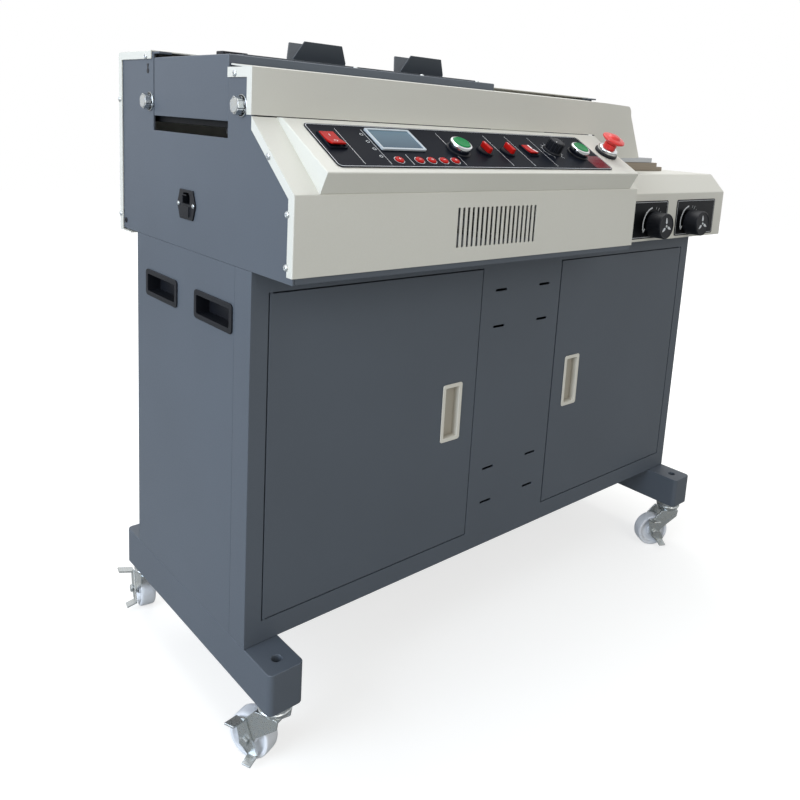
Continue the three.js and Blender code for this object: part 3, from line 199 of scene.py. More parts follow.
def round_off(piece, width, segments=2, smooth=40):
    """Breaks a piece's sharp edges by a width in millimetres and evens out its shading."""
    bpy.ops.object.select_all(action="DESELECT")
    bpy.context.view_layer.objects.active = piece
    piece.select_set(True)
    if width:
        bevel_by(piece, width, segments, "ANGLE")
    bpy.ops.object.shade_smooth_by_angle(angle=math.radians(smooth))
    evened = piece.modifiers.new("evened_shading", "WEIGHTED_NORMAL")
    evened.keep_sharp = True
    bpy.ops.object.modifier_apply(modifier=evened.name)
    return piece


def seat_on(piece, body, slot, material, *nodes):
    """Gives a finished piece its finish and its body, and hides the CAD nodes that it stands for."""
    piece.data.materials.clear()
    piece.data.materials.append(material)
    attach(piece, body)
    for node in nodes:
        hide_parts(node)
    return piece


def folded(data):
    """The places where a bevel has turned a face back over its neighbour."""
    turned_over = math.radians(140)
    trial = bmesh.new()
    trial.from_mesh(data)
    bmesh.ops.triangulate(trial, faces=trial.faces[:])
    places = [(line.verts[0].co + line.verts[1].co) / 2 for line in trial.edges
              if len(line.link_faces) == 2 and line.calc_face_angle(0) > turned_over]
    trial.free()
    return places


def room_beside(line):
    """The least distance from an edge to its faces' other corners and along the edges it meets."""
    start, end = (vertex.co for vertex in line.verts)
    gaps = [near.calc_length() for vertex in line.verts for near in vertex.link_edges]
    for corner in {vertex for face in line.link_faces for vertex in face.verts} - set(line.verts):
        along = max(0, min(1, intersect_point_line(corner.co, start, end)[1]))
        gaps.append((corner.co - start.lerp(end, along)).length)
    return min(gaps)


def dressed(node, body, slot, material, edge=0.5, bend=None, fold=25):
    """A CAD piece as the shop makes it: its bends rounded, its cut edges broken.

    An edge is a bend when neither face beside it is a cut edge of the sheet. Each width takes
    its share at most of the room beside its edge, and is less again near a folded corner."""
    cut_edge, share, near_corner, narrower, wide_bend, tries = 0.0036, 0.4, 0.006, 0.6, 1.3, 6
    piece = bpy.data.objects.new(node + "_finished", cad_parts[node].data.copy())
    bpy.context.scene.collection.objects.link(piece)
    edit(piece)
    bpy.ops.mesh.remove_doubles(threshold=0.00001)
    bpy.ops.mesh.dissolve_limited(angle_limit=math.radians(0.6))
    bend, widths = bend or edge, {}
    for line in bmesh.from_edit_mesh(piece.data).edges:
        if len(line.link_faces) == 2 and line.calc_face_angle(0) > math.radians(fold):
            breadth = min(2 * face.calc_area() / max(face.calc_perimeter(), 1e-9)
                          for face in line.link_faces)
            wanted = bend if line.is_convex and breadth > cut_edge else edge
            widths[line.index] = min(wanted, 1000 * share * room_beside(line))
    bpy.ops.object.mode_set(mode="OBJECT")
    flat = piece.data
    for _ in range(tries):
        piece.data = flat.copy()
        weights = piece.data.attributes.new("bevel_weight_edge", "FLOAT", "EDGE")
        for i, width in widths.items():
            weights.data[i].value = width / bend
        bevel_by(piece, bend, 3 if bend > wide_bend else 2, "WEIGHT")
        spots = folded(piece.data)
        if not spots:
            break
        for i in widths:
            ends = [flat.vertices[k].co for k in flat.edges[i].vertices]
            if any((spot - end).length < near_corner for spot in spots for end in ends):
                widths[i] *= narrower
    return seat_on(round_off(piece, 0), body, slot, material, node)


grey_coat = powder_coat("grey_powder_coated_steel", "#4e555d", "#555d66", 0.46, 0.58)
for side in ("left", "right"):
    dressed(f"foot_{side}", "cabinet", "grey_paint", grey_coat, 1.2, 2.5)

# Castors: pressed and zinc-plated forks on a ball race, white nylon wheels on a bolt, and a
# stamped brake lever beside each wheel. The plating is bright with a faint yellow and blue cloud.
zinc, tree = blank("bright_zinc_plated_steel")
spot = add(tree, "ShaderNodeTexCoord").outputs["Object"]
# Spangle about 4 mm across, and a 0.3 mm press grain drawn 1 mm coarse
cloud = add(tree, "ShaderNodeTexNoise", {"Scale": 240, "Detail": 2}, {"Vector": spot})
grain = add(tree, "ShaderNodeTexNoise", {"Scale": 900, "Detail": 2}, {"Vector": spot})
tone = add(tree, "ShaderNodeMix", {"data_type": "RGBA", 6: linear("#c9c8bf"), 7: linear("#b7c1cb")},
           {0: cloud.outputs["Fac"]})
sheen = add(tree, "ShaderNodeMapRange", {"From Min": 0.3, "From Max": 0.7, "To Min": 0.2, "To Max": 0.42},
            {"Value": grain.outputs["Fac"]})
bump = add(tree, "ShaderNodeBump", {"Strength": 0.15, "Distance": 0.0001},
           {"Height": grain.outputs["Fac"]})
shader = add(tree, "ShaderNodeBsdfPrincipled", {"Metallic": 1.0},
             {"Base Color": tone.outputs[2], "Roughness": sheen.outputs[0], "Normal": bump.outputs[0]})
add(tree, "ShaderNodeOutputMaterial", {}, {"Surface": shader.outputs[0]})


def moulded(name, dark, light, rough, spark=900, coat=0.0, gloss=0.25):
    """A moulded plastic with a spark-eroded grain, its tone a little uneven."""
    material, tree = blank(name)
    spot = add(tree, "ShaderNodeTexCoord").outputs["Object"]
    # The grain is 0.1 mm fine, drawn 1 mm coarse so that it shows, and the flow marks are 25 mm
    grain = add(tree, "ShaderNodeTexNoise", {"Scale": spark, "Detail": 3}, {"Vector": spot})
    flow = add(tree, "ShaderNodeTexNoise", {"Scale": 40, "Detail": 1}, {"Vector": spot})
    tone = add(tree, "ShaderNodeMix", {"data_type": "RGBA", 6: linear(dark), 7: linear(light)},
               {0: flow.outputs["Fac"]})
    sheen = add(tree, "ShaderNodeMapRange",
                {"From Min": 0.3, "From Max": 0.7, "To Min": rough - 0.05, "To Max": rough + 0.07},
                {"Value": grain.outputs["Fac"]})
    bump = add(tree, "ShaderNodeBump", {"Strength": 0.2, "Distance": 0.0001},
               {"Height": grain.outputs["Fac"]})
    shader = add(tree, "ShaderNodeBsdfPrincipled",
                 {"IOR": 1.5, "Specular IOR Level": gloss, "Coat Weight": coat, "Coat Roughness": 0.08},
                 {"Base Color": tone.outputs[2], "Roughness": sheen.outputs[0],
                  "Normal": bump.outputs[0]})
    add(tree, "ShaderNodeOutputMaterial", {}, {"Surface": shader.outputs[0]})
    return material


# Natural nylon, smooth and milky white
nylon = moulded("white_moulded_nylon", "#e3e7ec", "#eff1f3", 0.38)


def turn(degrees, axis):
    """A turn about an axis."""
    return Matrix.Rotation(math.radians(degrees), 4, axis)


def shift(x, y, z):
    """A move by millimetres."""
    return Matrix.Translation((x / 1000, y / 1000, z / 1000))


def shaped(name, points, edges=(), faces=()):
    """A new piece from points in millimetres and what joins them, open in edit mode."""
    mesh = bpy.data.meshes.new(name)
    mesh.from_pydata([(x / 1000, y / 1000, z / 1000) for x, y, z in points], edges, faces)
    piece = bpy.data.objects.new(name, mesh)
    bpy.context.scene.collection.objects.link(piece)
    edit(piece)
    return piece


def set_in_place(piece, place):
    """Turns the faces of an open piece outward, closes edit mode and puts the piece in place."""
    bpy.ops.mesh.select_all(action="SELECT")
    bpy.ops.mesh.normals_make_consistent(inside=False)
    bpy.ops.object.mode_set(mode="OBJECT")
    piece.data.transform(place)
    return piece


def turned(name, profile, place, steps=48):
    """A piece turned about its own z axis from (radius, height) points in millimetres."""
    piece = shaped(name, [(radius, 0, height) for radius, height in profile],
                   [(i, i + 1) for i in range(len(profile) - 1)])
    bpy.ops.mesh.spin(steps=steps, angle=2 * math.pi, center=(0, 0, 0), axis=(0, 0, 1))
    bpy.ops.mesh.select_all(action="SELECT")
    bpy.ops.mesh.remove_doubles(threshold=0.000002)
    return round_off(set_in_place(piece, place), 0, smooth=35)


wheel_radius, trail, stem_inset, facing_y = 32.5, 34, 27, turn(-90, "X")
# The swivel's two dished cups with the ball gap between them, and one side of the tyre
race_profile = [(0, 95.6), (21.5, 95.6), (23.4, 94.6), (23.4, 91.8), (22, 91), (20.6, 90.6),
                (20.6, 89.8), (22.6, 89.2), (23.6, 87.6), (22.8, 85), (18.6, 79.4), (17.6, 78.2),
                (0, 78.2)]
tyre_side = [(4.3, 12), (10.5, 12), (11.4, 11.2), (12, 6.6), (13.5, 5.6), (23.4, 5.6), (25, 6.8),
             (26, 10.6), (27, 11.6), (29.6, 12), (31.4, 11.2), (32.3, 9.4), (32.6, 6)]
tyre_profile = [(radius, -height) for radius, height in tyre_side] + tyre_side[::-1] + [(4.3, -12)]
for corner, heading in (("front_left", 112), ("front_right", 150), ("rear_left", 80),
                        ("rear_right", 70)):
    low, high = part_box("foot_left" if "left" in corner else "foot_right")
    stem = Vector(((low.x + high.x) / 2, low.y + stem_inset / 1000 if "front" in corner
                   else high.y - stem_inset / 1000, 0))
    castor = Matrix.Translation(stem) @ turn(heading, "Z")
    axle = castor @ shift(trail, 0, wheel_radius) @ facing_y
    fork, wheel, pedal = f"castor_fork_{corner}", f"castor_wheel_{corner}", f"castor_pedal_{corner}"
    dressed(fork, fork, "zinc_plate", zinc, 0.6, 1.6, 26)
    race = turned(f"castor_race_{corner}", race_profile, castor, 40)
    seat_on(race, fork, "zinc_plate", zinc)
    tyre = turned(f"castor_tyre_{corner}", tyre_profile, axle, 56)
    seat_on(tyre, wheel, "white_nylon", nylon, wheel)
    dressed(pedal, pedal, "zinc_plate", zinc, 0.5, 1.2)

# Cabinet: a folded front frame with side, back and floor panels of 2 mm sheet, spot welded
# and coated together in grey.
for node, bend in (("front_frame", 1.2), ("side_panel_left", 0.8), ("side_panel_right", 0.8),
                   ("back_panel", 0.8), ("floor_panel", 0.8)):
    dressed(node, "cabinet", "grey_paint", grey_coat, 0.4, bend)

# Doors: folded steel trays on pin hinges, with cream moulded recessed handles snapped in.
# The handles are ABS with a fine satin grain and a soft moulded edge.
cream_abs = moulded("cream_moulded_abs", "#dcd9cc", "#e6e3d8", 0.42)
# Painted shade: the finger wells darken to grey-brown, from 1.5 mm under their rims to 9 mm down
tree, front = cream_abs.node_tree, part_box("door_handle_left")[0].y
shader = next(node for node in tree.nodes if node.type == "BSDF_PRINCIPLED")
spot = add(tree, "ShaderNodeTexCoord").outputs["Object"]
inward = add(tree, "ShaderNodeSeparateXYZ", {}, {0: spot}).outputs["Y"]
well_shade_amount = add(tree, "ShaderNodeMapRange",
                 {"From Min": front + 0.0015, "From Max": front + 0.009, "To Max": 0.62},
                 {"Value": inward})
shaded_well_tone = add(tree, "ShaderNodeMix", {"data_type": "RGBA", 7: linear("#857c6b")},
              {0: well_shade_amount.outputs[0], 6: shader.inputs["Base Color"].links[0].from_socket})
tree.links.new(shaded_well_tone.outputs[2], shader.inputs["Base Color"])


def polar(radius, degrees, x=0, y=0):
    """The point at a radius and an angle from a centre."""
    return (x + radius * math.cos(math.radians(degrees)), y + radius * math.sin(math.radians(degrees)))


def rounded(x0, x1, y0, y1, radius, steps=5):
    """The corner points of a rounded rectangle."""
    return [polar(radius, start + 90 * i / steps, x, y)
            for x, y, start in ((x1 - radius, y1 - radius, 0), (x0 + radius, y1 - radius, 90),
                                (x0 + radius, y0 + radius, 180), (x1 - radius, y0 + radius, 270))
            for i in range(steps + 1)]


flange, well_depth, cup_inset = 1.5, 9.5, 4.3
for side in ("left", "right"):
    dressed(f"door_{side}", f"door_{side}", "grey_paint", grey_coat, 0.5, 1.4)
    # The handle in six outlines, from the back of its cup over the flange to the floor of its
    # well: how far each is inside the flange, its corner radius and its height
    low, high = ((corner - middle) * 1000 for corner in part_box(f"door_handle_{side}"))
    outlines = ((cup_inset, 2.5, flange - high.y + low.y), (cup_inset, 2.5, 0), (0, 4, 0),
                (0, 4, flange), (6.2, 2.4, flange), (7.6, 1.6, -well_depth))
    points = [(x, z, level) for inset, radius, level in outlines
              for x, z in rounded(low.x + inset, high.x - inset, low.z + inset, high.z - inset, radius, 4)]
    count, last = len(points) // len(outlines), len(outlines) - 1
    walls = [(k + i, k + (i + 1) % count, k + count + (i + 1) % count, k + count + i)
             for k in range(0, last * count, count) for i in range(count)]
    ends = [range(count), range(last * count, len(points))]
    pull = shaped(f"door_pull_{side}", points, faces=walls + ends)
    set_in_place(pull, Matrix.Translation(middle) @ shift(0, low.y + flange, 0) @ turn(90, "X"))
    seat_on(round_off(pull, 0.9, 3), f"door_{side}", "cream_plastic", cream_abs, f"door_handle_{side}")

# Side grips: black moulded cups clipped into the cabinet's ends to lift it by. Matt ABS with a
# coarse grain, which takes the light softly and looks nearly black in the well.
black_abs = moulded("black_moulded_abs", "#0f1116", "#171a20", 0.42, 700)
for place in ("left_rear", "left_front", "right_rear", "right_front"):
    dressed(f"grip_{place}", "cabinet", "black_plastic", black_abs, 0.6, 1.5)

# Housing: a flanged deck tray on the cabinet with its welded tower and rod bracket, and the
# slotted left end plate, of 3 mm and 8 mm steel, powder coated like the cabinet. The plate has
# a black sheet in a keyhole's shape near its top, painted shade for the slot's dark inside, and a
# round black plug low at the rear.
for node, bend in (("deck_tray", 1.6), ("end_plate_left", 1.2)):
    dressed(node, "cabinet", "grey_paint", grey_coat, 0.5, bend)


def cut_out(name, outline, low, high, place, width=0.4, segments=2, smooth=40):
    """A plate with a given outline in millimetres, from one height to another, edges broken."""
    piece = shaped(name, [(x, y, low) for x, y in outline], faces=[range(len(outline))])
    bpy.ops.mesh.extrude_region_move(TRANSFORM_OT_translate={"value": (0, 0, (high - low) / 1000)})
    return round_off(set_in_place(piece, place), width, segments, smooth)


end_face, keyhole_at = 505.5, 138.7
on_end = Matrix.Translation(at(-end_face, 0, 0)) @ turn(-90, "Y") @ turn(-90, "Z")
# Painted shade: a thin black sheet in the keyhole's shape stands for the slot's dark inside
keyhole = [(-3.2, 911.5), (3.2, 911.5), (1.1, 906.4),
           *(polar(3.6, angle, 0, 901.6) for angle in range(74, -255, -20)), (-1.1, 906.4)]
keyhole_shade_sheet = cut_out("keyhole_painted_shade", [(x - keyhole_at, z) for x, z in keyhole], 0.1, 0.5, on_end, 0.1)
seat_on(keyhole_shade_sheet, "cabinet", "black_plastic", black_abs)
plug_profile = [(0, 0.1), (3.9, 0.1), (4.2, 0.7), (3.8, 1.3), (2.4, 1.5), (1.9, 0.8), (0, 0.6)]
plug = turned("round_black_plug", plug_profile, on_end @ shift(-222.5, 676, 0), 28)
seat_on(plug, "cabinet", "black_plastic", black_abs)


def metal(name, dark, light, rough, grain_scale, stretch=(1, 1, 1)):
    """A bare metal. Its grain is stretched along an axis where a tool has left marks."""
    material, tree = blank(name)
    spot = add(tree, "ShaderNodeTexCoord").outputs["Object"]
    # The grain is drawn 1 to 2 mm coarse, more than on a real piece, so that it shows
    laid = add(tree, "ShaderNodeMapping", {"Scale": stretch}, {"Vector": spot})
    marks = add(tree, "ShaderNodeTexNoise", {"Scale": grain_scale, "Detail": 3}, {"Vector": laid.outputs[0]})
    tone = add(tree, "ShaderNodeMix", {"data_type": "RGBA", 6: linear(dark), 7: linear(light)},
               {0: marks.outputs["Fac"]})
    sheen = add(tree, "ShaderNodeMapRange",
                {"From Min": 0.3, "From Max": 0.7, "To Min": rough - 0.06, "To Max": rough + 0.08},
                {"Value": marks.outputs["Fac"]})
    bump = add(tree, "ShaderNodeBump", {"Strength": 0.15, "Distance": 0.0001},
               {"Height": marks.outputs["Fac"]})
    shader = add(tree, "ShaderNodeBsdfPrincipled", {"Metallic": 1.0},
                 {"Base Color": tone.outputs[2], "Roughness": sheen.outputs[0], "Normal": bump.outputs[0]})
    add(tree, "ShaderNodeOutputMaterial", {}, {"Surface": shader.outputs[0]})
    return material


# Guide rods: ground and polished steel, each held by a zinc-plated hex bolt and a washer.
# The grinding leaves very fine rings round the rod, drawn 1 mm apart so that they show.
ground = metal("ground_steel", "#c3c7c9", "#d3d6d8", 0.24, 1000, (1, 0.05, 0.05))
rod_height, nut_across, washer_top, head_top = 859, 19, 2.3, 11.3
nut_corner = nut_across / 2 / math.cos(math.pi / 6) + 0.25
washer_profile = [(0, 0.1), (13.2, 0.1), (13.2, 1.9), (12.7, washer_top), (0, washer_top)]
crown_profile = [(0, 10.9), (6.5, 10.9), (8.8, 11.4), (8.6, 11.7), (6.2, 11.8), (0, 11.6)]
for name, y, right_face in (("guide_rod_front", -135, 208), ("guide_rod_rear", 131, end_face)):
    dressed(name, "cabinet", "ground_steel", ground, 0.4)
    for side, facing, x in (("left", -90, -end_face), ("right", 90, right_face)):
        # The washer, the bolt's six-sided head and its chamfered crown
        place = Matrix.Translation(at(x, y, rod_height)) @ turn(facing, "Y")
        washer = turned(f"{name}_{side}_washer", washer_profile, place, 40)
        seat_on(washer, "cabinet", "zinc_plate", zinc)
        head = cut_out(f"{name}_{side}_bolt_head", [polar(nut_corner, 60 * i + 15) for i in range(6)],
                       washer_top, head_top, place, 0.7)
        seat_on(head, "cabinet", "zinc_plate", zinc)
        crown = turned(f"{name}_{side}_bolt_crown", crown_profile, place, 32)
        seat_on(crown, "cabinet", "zinc_plate", zinc)

# Cream covers: front band, control cover, console and rear cover, folded from 2 mm steel.
# The coat is a warm off-white with a satin sheen, and each outer bend shows as a bright line.
cream_coat = powder_coat("cream_powder_coated_steel", "#d6d5ca", "#dddcd2", 0.36, 0.48)
for node, bend in (("front_band", 1.5), ("rear_cover", 1.8), ("control_cover", 1.6),
                   ("console_shell", 1.8)):
    dressed(node, "cabinet", "cream_paint", cream_coat, 0.45, bend)

# Cover screws: zinc-plated pan heads with a cross recess, one size throughout. One pattern is
# modelled, with the recess cut by two crossed blades, and each screw is a copy of it.
head_profile = [(0, 0), (4.2, 0), (4.2, 0.5), (3.9, 1.4), (3.1, 2.1), (1.8, 2.5), (0, 2.6)]
pattern_screw = turned("pattern_screw", head_profile, Matrix.Identity(4), 32)
for i in range(2):
    blade = cut_out(f"recess_blade_{i}", [(-2.3, -0.45), (2.3, -0.45), (2.3, 0.45), (-2.3, 0.45)],
                    1.5, 4, turn(90 * i, "Z"), 0)
    recess = pattern_screw.modifiers.new("cross_recess", "BOOLEAN")
    recess.operation, recess.object, recess.solver = "DIFFERENCE", blade, "EXACT"
    bpy.ops.object.select_all(action="DESELECT")
    bpy.context.view_layer.objects.active = pattern_screw
    pattern_screw.select_set(True)
    bpy.ops.object.modifier_apply(modifier=recess.name)
    bpy.data.objects.remove(blade)


def drive_in(name, place, turns, body="cabinet"):
    """A screw like the pattern, set at its place and turned to its own angle in radians."""
    screw = bpy.data.objects.new(name, pattern_screw.data.copy())
    bpy.context.scene.collection.objects.link(screw)
    screw.data.transform(place @ Matrix.Rotation(turns, 4, "Z"))
    seat_on(screw, body, "zinc_plate", zinc)


cover_end, console_end, cover_back = 507.8, 554.5, 243
left_screws = ((-201, 804), (-244, 742.5), (-244, 682.5), (-120, 896.5), (140, 921.5), (237, 860),
               (237, 685))
right_screws = ((cover_end, 140, 921.5), (cover_end, 237, 860), (cover_end, 237, 685),
                (console_end, 80, 700), (console_end, -160, 700))
for i, (y, z) in enumerate(left_screws):
    place = Matrix.Translation(at(-cover_end, y, z)) @ turn(-90, "Y")
    drive_in(f"left_cover_screw_{i}", place, 0.4 * i)
for i, (x, y, z) in enumerate(right_screws):
    place = Matrix.Translation(at(x, y, z)) @ turn(90, "Y")
    drive_in(f"right_cover_screw_{i}", place, 0.5 * i)
for i, x in enumerate((-470, -160, 160, 470)):
    for row, z in enumerate((690, 905)):
        place = Matrix.Translation(at(x, cover_back, z)) @ turn(-90, "X")
        drive_in(f"rear_cover_screw_{i}_{row}", place, 0.3 * i)

# Control panel film: a polyester sheet printed black from behind, stuck on the sloping bulge.
# Everything on the panel is drawn flat, in millimetres along it, up it and out of it.
slope_rise, slope_run, film_top, low_corner = 56.5, 98, 1.5, at(-474, -270, 791.5)
panel = Matrix.Translation(low_corner) @ Matrix.Rotation(math.atan2(slope_rise, slope_run), 4, "X")


def on_panel(along, up, out=film_top):
    """The place of a piece that stands square to the panel."""
    return panel @ shift(along, up, out)


film, tree = blank("back_printed_polyester_film")
spot = add(tree, "ShaderNodeTexCoord").outputs["Object"]
# Satin emboss of the film, 0.5 mm, drawn 1.5 mm coarse
emboss = add(tree, "ShaderNodeTexNoise", {"Scale": 650, "Detail": 2}, {"Vector": spot})
tone = add(tree, "ShaderNodeMix", {"data_type": "RGBA", 6: linear("#11141b"), 7: linear("#181c25")},
           {0: emboss.outputs["Fac"]})
sheen = add(tree, "ShaderNodeMapRange", {"From Min": 0.3, "From Max": 0.7, "To Min": 0.3, "To Max": 0.4},
            {"Value": emboss.outputs["Fac"]})
shader = add(tree, "ShaderNodeBsdfPrincipled", {"IOR": 1.5, "Specular IOR Level": 0.03},
             {"Base Color": tone.outputs[2], "Roughness": sheen.outputs[0]})
add(tree, "ShaderNodeOutputMaterial", {}, {"Surface": shader.outputs[0]})
dressed("panel_overlay", "cabinet", "panel_film", film, 0.35, 0.6)

# The print on the film: white ink for borders, dividers and dial marks, and one dark red field
# at the right end. The ink lies behind the film, so it is flat and has the film's gloss.
ink, tree = blank("white_screen_ink")
spot = add(tree, "ShaderNodeTexCoord").outputs["Object"]
# The screen's mesh marks, 0.1 mm, drawn 1 mm coarse
mesh_mark = add(tree, "ShaderNodeTexNoise", {"Scale": 900, "Detail": 1}, {"Vector": spot})
tone = add(tree, "ShaderNodeMix", {"data_type": "RGBA", 6: linear("#c2c6c9"), 7: linear("#dfe2e3")},
           {0: mesh_mark.outputs["Fac"]})
shader = add(tree, "ShaderNodeBsdfPrincipled", {"IOR": 1.5, "Roughness": 0.35},
             {"Base Color": tone.outputs[2]})
add(tree, "ShaderNodeOutputMaterial", {}, {"Surface": shader.outputs[0]})


def printed(name, strokes, width, place, body="cabinet", slot="panel_film", loop=False):
    """Lines of ink: round strokes, flattened to an eighth and made a mesh, then set in place."""
    flatness = 0.12
    curve = bpy.data.curves.new(name, "CURVE")
    curve.dimensions, curve.bevel_depth = "3D", width / 2000
    curve.bevel_resolution, curve.use_fill_caps = 1, True
    for points in strokes:
        stroke = curve.splines.new("POLY")
        stroke.points.add(len(points) - 1)
        for point, (x, y) in zip(stroke.points, points):
            point.co = (x / 1000, y / 1000, 0, 1)
        stroke.use_cyclic_u = loop
    holder = bpy.data.objects.new(f"{name}_curve", curve)
    bpy.context.scene.collection.objects.link(holder)
    piece = bpy.data.objects.new(name, bpy.data.meshes.new_from_object(holder))
    bpy.context.scene.collection.objects.link(piece)
    bpy.data.objects.remove(holder)
    piece.data.transform(place @ Matrix.Scale(flatness, 4, (0, 0, 1)))
    edit(piece)
    bpy.ops.mesh.normals_make_consistent(inside=False)
    bpy.ops.object.mode_set(mode="OBJECT")
    bpy.ops.object.shade_smooth_by_angle(angle=math.radians(60))
    seat_on(piece, body, slot, ink)


def arc(x, y, radius, start, end, steps=20):
    """The points of an arc between two angles."""
    return [polar(radius, start + (end - start) * i / steps, x, y) for i in range(steps + 1)]


film_face = on_panel(0, 0)
printed("panel_border", [rounded(22.8, 547.2, 11.8, 100.2, 5.5)], 0.9, film_face, loop=True)
dividers = [[(x, 16), (x, 92)] for x in (62, 102, 229, 321, 367, 417)] + [[(138, 16), (138, 38)]]
printed("panel_dividers", dividers, 0.7, film_face)
# Lamp rings beside the four status lines, rings round the keys and ticks round the speed dial
lamps = [arc(96.5, up, 2.2, 0, 360) for up in (33, 49, 65, 81)]
keys, key_row = [120, 153, 173.5, 194.5, 215], 25.5
rings = [arc(along, key_row, 7, 0, 360) for along in keys]
printed("panel_rings", lamps + rings, 0.8, film_face)
dial_along, dial_up, dial_ring = 443, 57, 16.8
ticks = [[polar(reach, angle, dial_along, dial_up) for reach in (dial_ring, 20.2 if i % 5 else 22)]
         for i, angle in enumerate(range(240, -61, -30))]
printed("speed_dial_ticks", ticks + [arc(dial_along, dial_up, dial_ring, -60, 240)], 0.6, film_face)

red_ink = moulded("dark_red_tinted_film", "#5a1420", "#6d1a28", 0.3)
window = cut_out("lamp_window", rounded(508, 546, 13.5, 46, 3), -0.2, 0.12, film_face, 0)
seat_on(window, "cabinet", "panel_film", red_ink)

# Liquid crystal display: a pale moulded bezel with a grey-blue glass set a little below it.
# The bezel is satin ABS, and the glass is flat and takes a soft reflection.
bezel_grey = moulded("pale_grey_abs", "#b9c3c9", "#c9d2d6", 0.35)
left_edge, low_edge, display_width, display_height, rim = 106, 45.5, 73, 47, 3.2
bezel_low, bezel_high = 0.3, 2.9
outer = rounded(left_edge, left_edge + display_width, low_edge, low_edge + display_height, 2.2, 4)
inner = rounded(left_edge + rim, left_edge + display_width - rim,
                low_edge + rim, low_edge + display_height - rim, 1.2, 4)
count = len(outer)
bezel = shaped("display_bezel", [(x, y, bezel_low) for x, y in [*outer, *inner]],
               faces=[(i, (i + 1) % count, count + (i + 1) % count, count + i) for i in range(count)])
bpy.ops.mesh.extrude_region_move(
    TRANSFORM_OT_translate={"value": (0, 0, (bezel_high - bezel_low) / 1000)})
round_off(set_in_place(bezel, film_face), 0.3)
seat_on(bezel, "cabinet", "screen_glass", bezel_grey, "lcd_display")
# The glass is clear over a grey-blue reflective layer, with the faint grid of the module's idle
# dots, 1.1 mm each. The blue is painted lighter towards the top, a painted reflection.
glass, tree = blank("display_glass_over_blue_layer")
spot = add(tree, "ShaderNodeTexCoord").outputs["Object"]
centre = on_panel(left_edge + display_width / 2, low_edge + display_height / 2)
flat = add(tree, "ShaderNodeMapping", {"vector_type": "TEXTURE", "Location": centre.translation,
           "Rotation": centre.to_euler()}, {"Vector": spot})
across = add(tree, "ShaderNodeSeparateXYZ", {}, {0: flat.outputs[0]})
# Painted reflection: the blue lightens towards the top of the glass
height = add(tree, "ShaderNodeMapRange", {"From Min": -0.02, "From Max": 0.02},
             {"Value": across.outputs["Y"]})
tone = add(tree, "ShaderNodeMix", {"data_type": "RGBA", 6: linear("#3f5768"), 7: linear("#5c7887")},
           {0: height.outputs[0]})
dots = add(tree, "ShaderNodeTexBrick",
           {"Scale": 1.0, "Mortar Size": 0.0003, "Brick Width": 0.0011, "Row Height": 0.0011,
            "Color1": (0, 0, 0, 1), "Color2": (0.25, 0.25, 0.25, 1), "Mortar": (1, 1, 1, 1),
            "offset": 0.0}, {"Vector": flat.outputs[0]})
shade = add(tree, "ShaderNodeMix", {"data_type": "RGBA", "blend_type": "MULTIPLY", 0: 0.1},
            {6: tone.outputs[2], 7: dots.outputs["Color"]})
shader = add(tree, "ShaderNodeBsdfPrincipled", {"IOR": 1.5, "Roughness": 0.16, "Specular IOR Level": 0.25},
             {"Base Color": shade.outputs[2]})
add(tree, "ShaderNodeOutputMaterial", {}, {"Surface": shader.outputs[0]})
seat_on(cut_out("display_window", inner, 0.3, 1.9, film_face, 0.15), "cabinet", "screen_glass", glass)

# Membrane keys: five red domes, each in a printed white ring, embossed in the film and clicking
# under it. They show as small red gloss polycarbonate buttons, and the white plus or minus on
# each dome's top is a painted highlight drawn as a mark.
red_gloss = moulded("red_moulded_polycarbonate", "#a8130f", "#bd1c16", 0.32, gloss=0.08)
dome_profile = [(0, 0), (6.1, 0), (6.1, 1.1), (5.7, 1.5), (4.4, 1.85), (2.4, 2.05), (0, 2.1)]
dome_top, highlight_mark_reach = 3.6, 1.7
for i, along in enumerate(keys):
    dome = turned(f"membrane_key_{i}", dome_profile, on_panel(along, key_row), 32)
    seat_on(dome, "cabinet", "red_plastic", red_gloss)
# Painted highlight: white plus and minus marks on the tops of the domes
marks = [[(along - highlight_mark_reach, key_row), (along + highlight_mark_reach, key_row)] for along in keys] + [
    [(along, key_row - highlight_mark_reach), (along, key_row + highlight_mark_reach)] for along in keys[::2]]
printed("membrane_key_painted_highlights", marks, 0.9, on_panel(0, 0, dome_top))
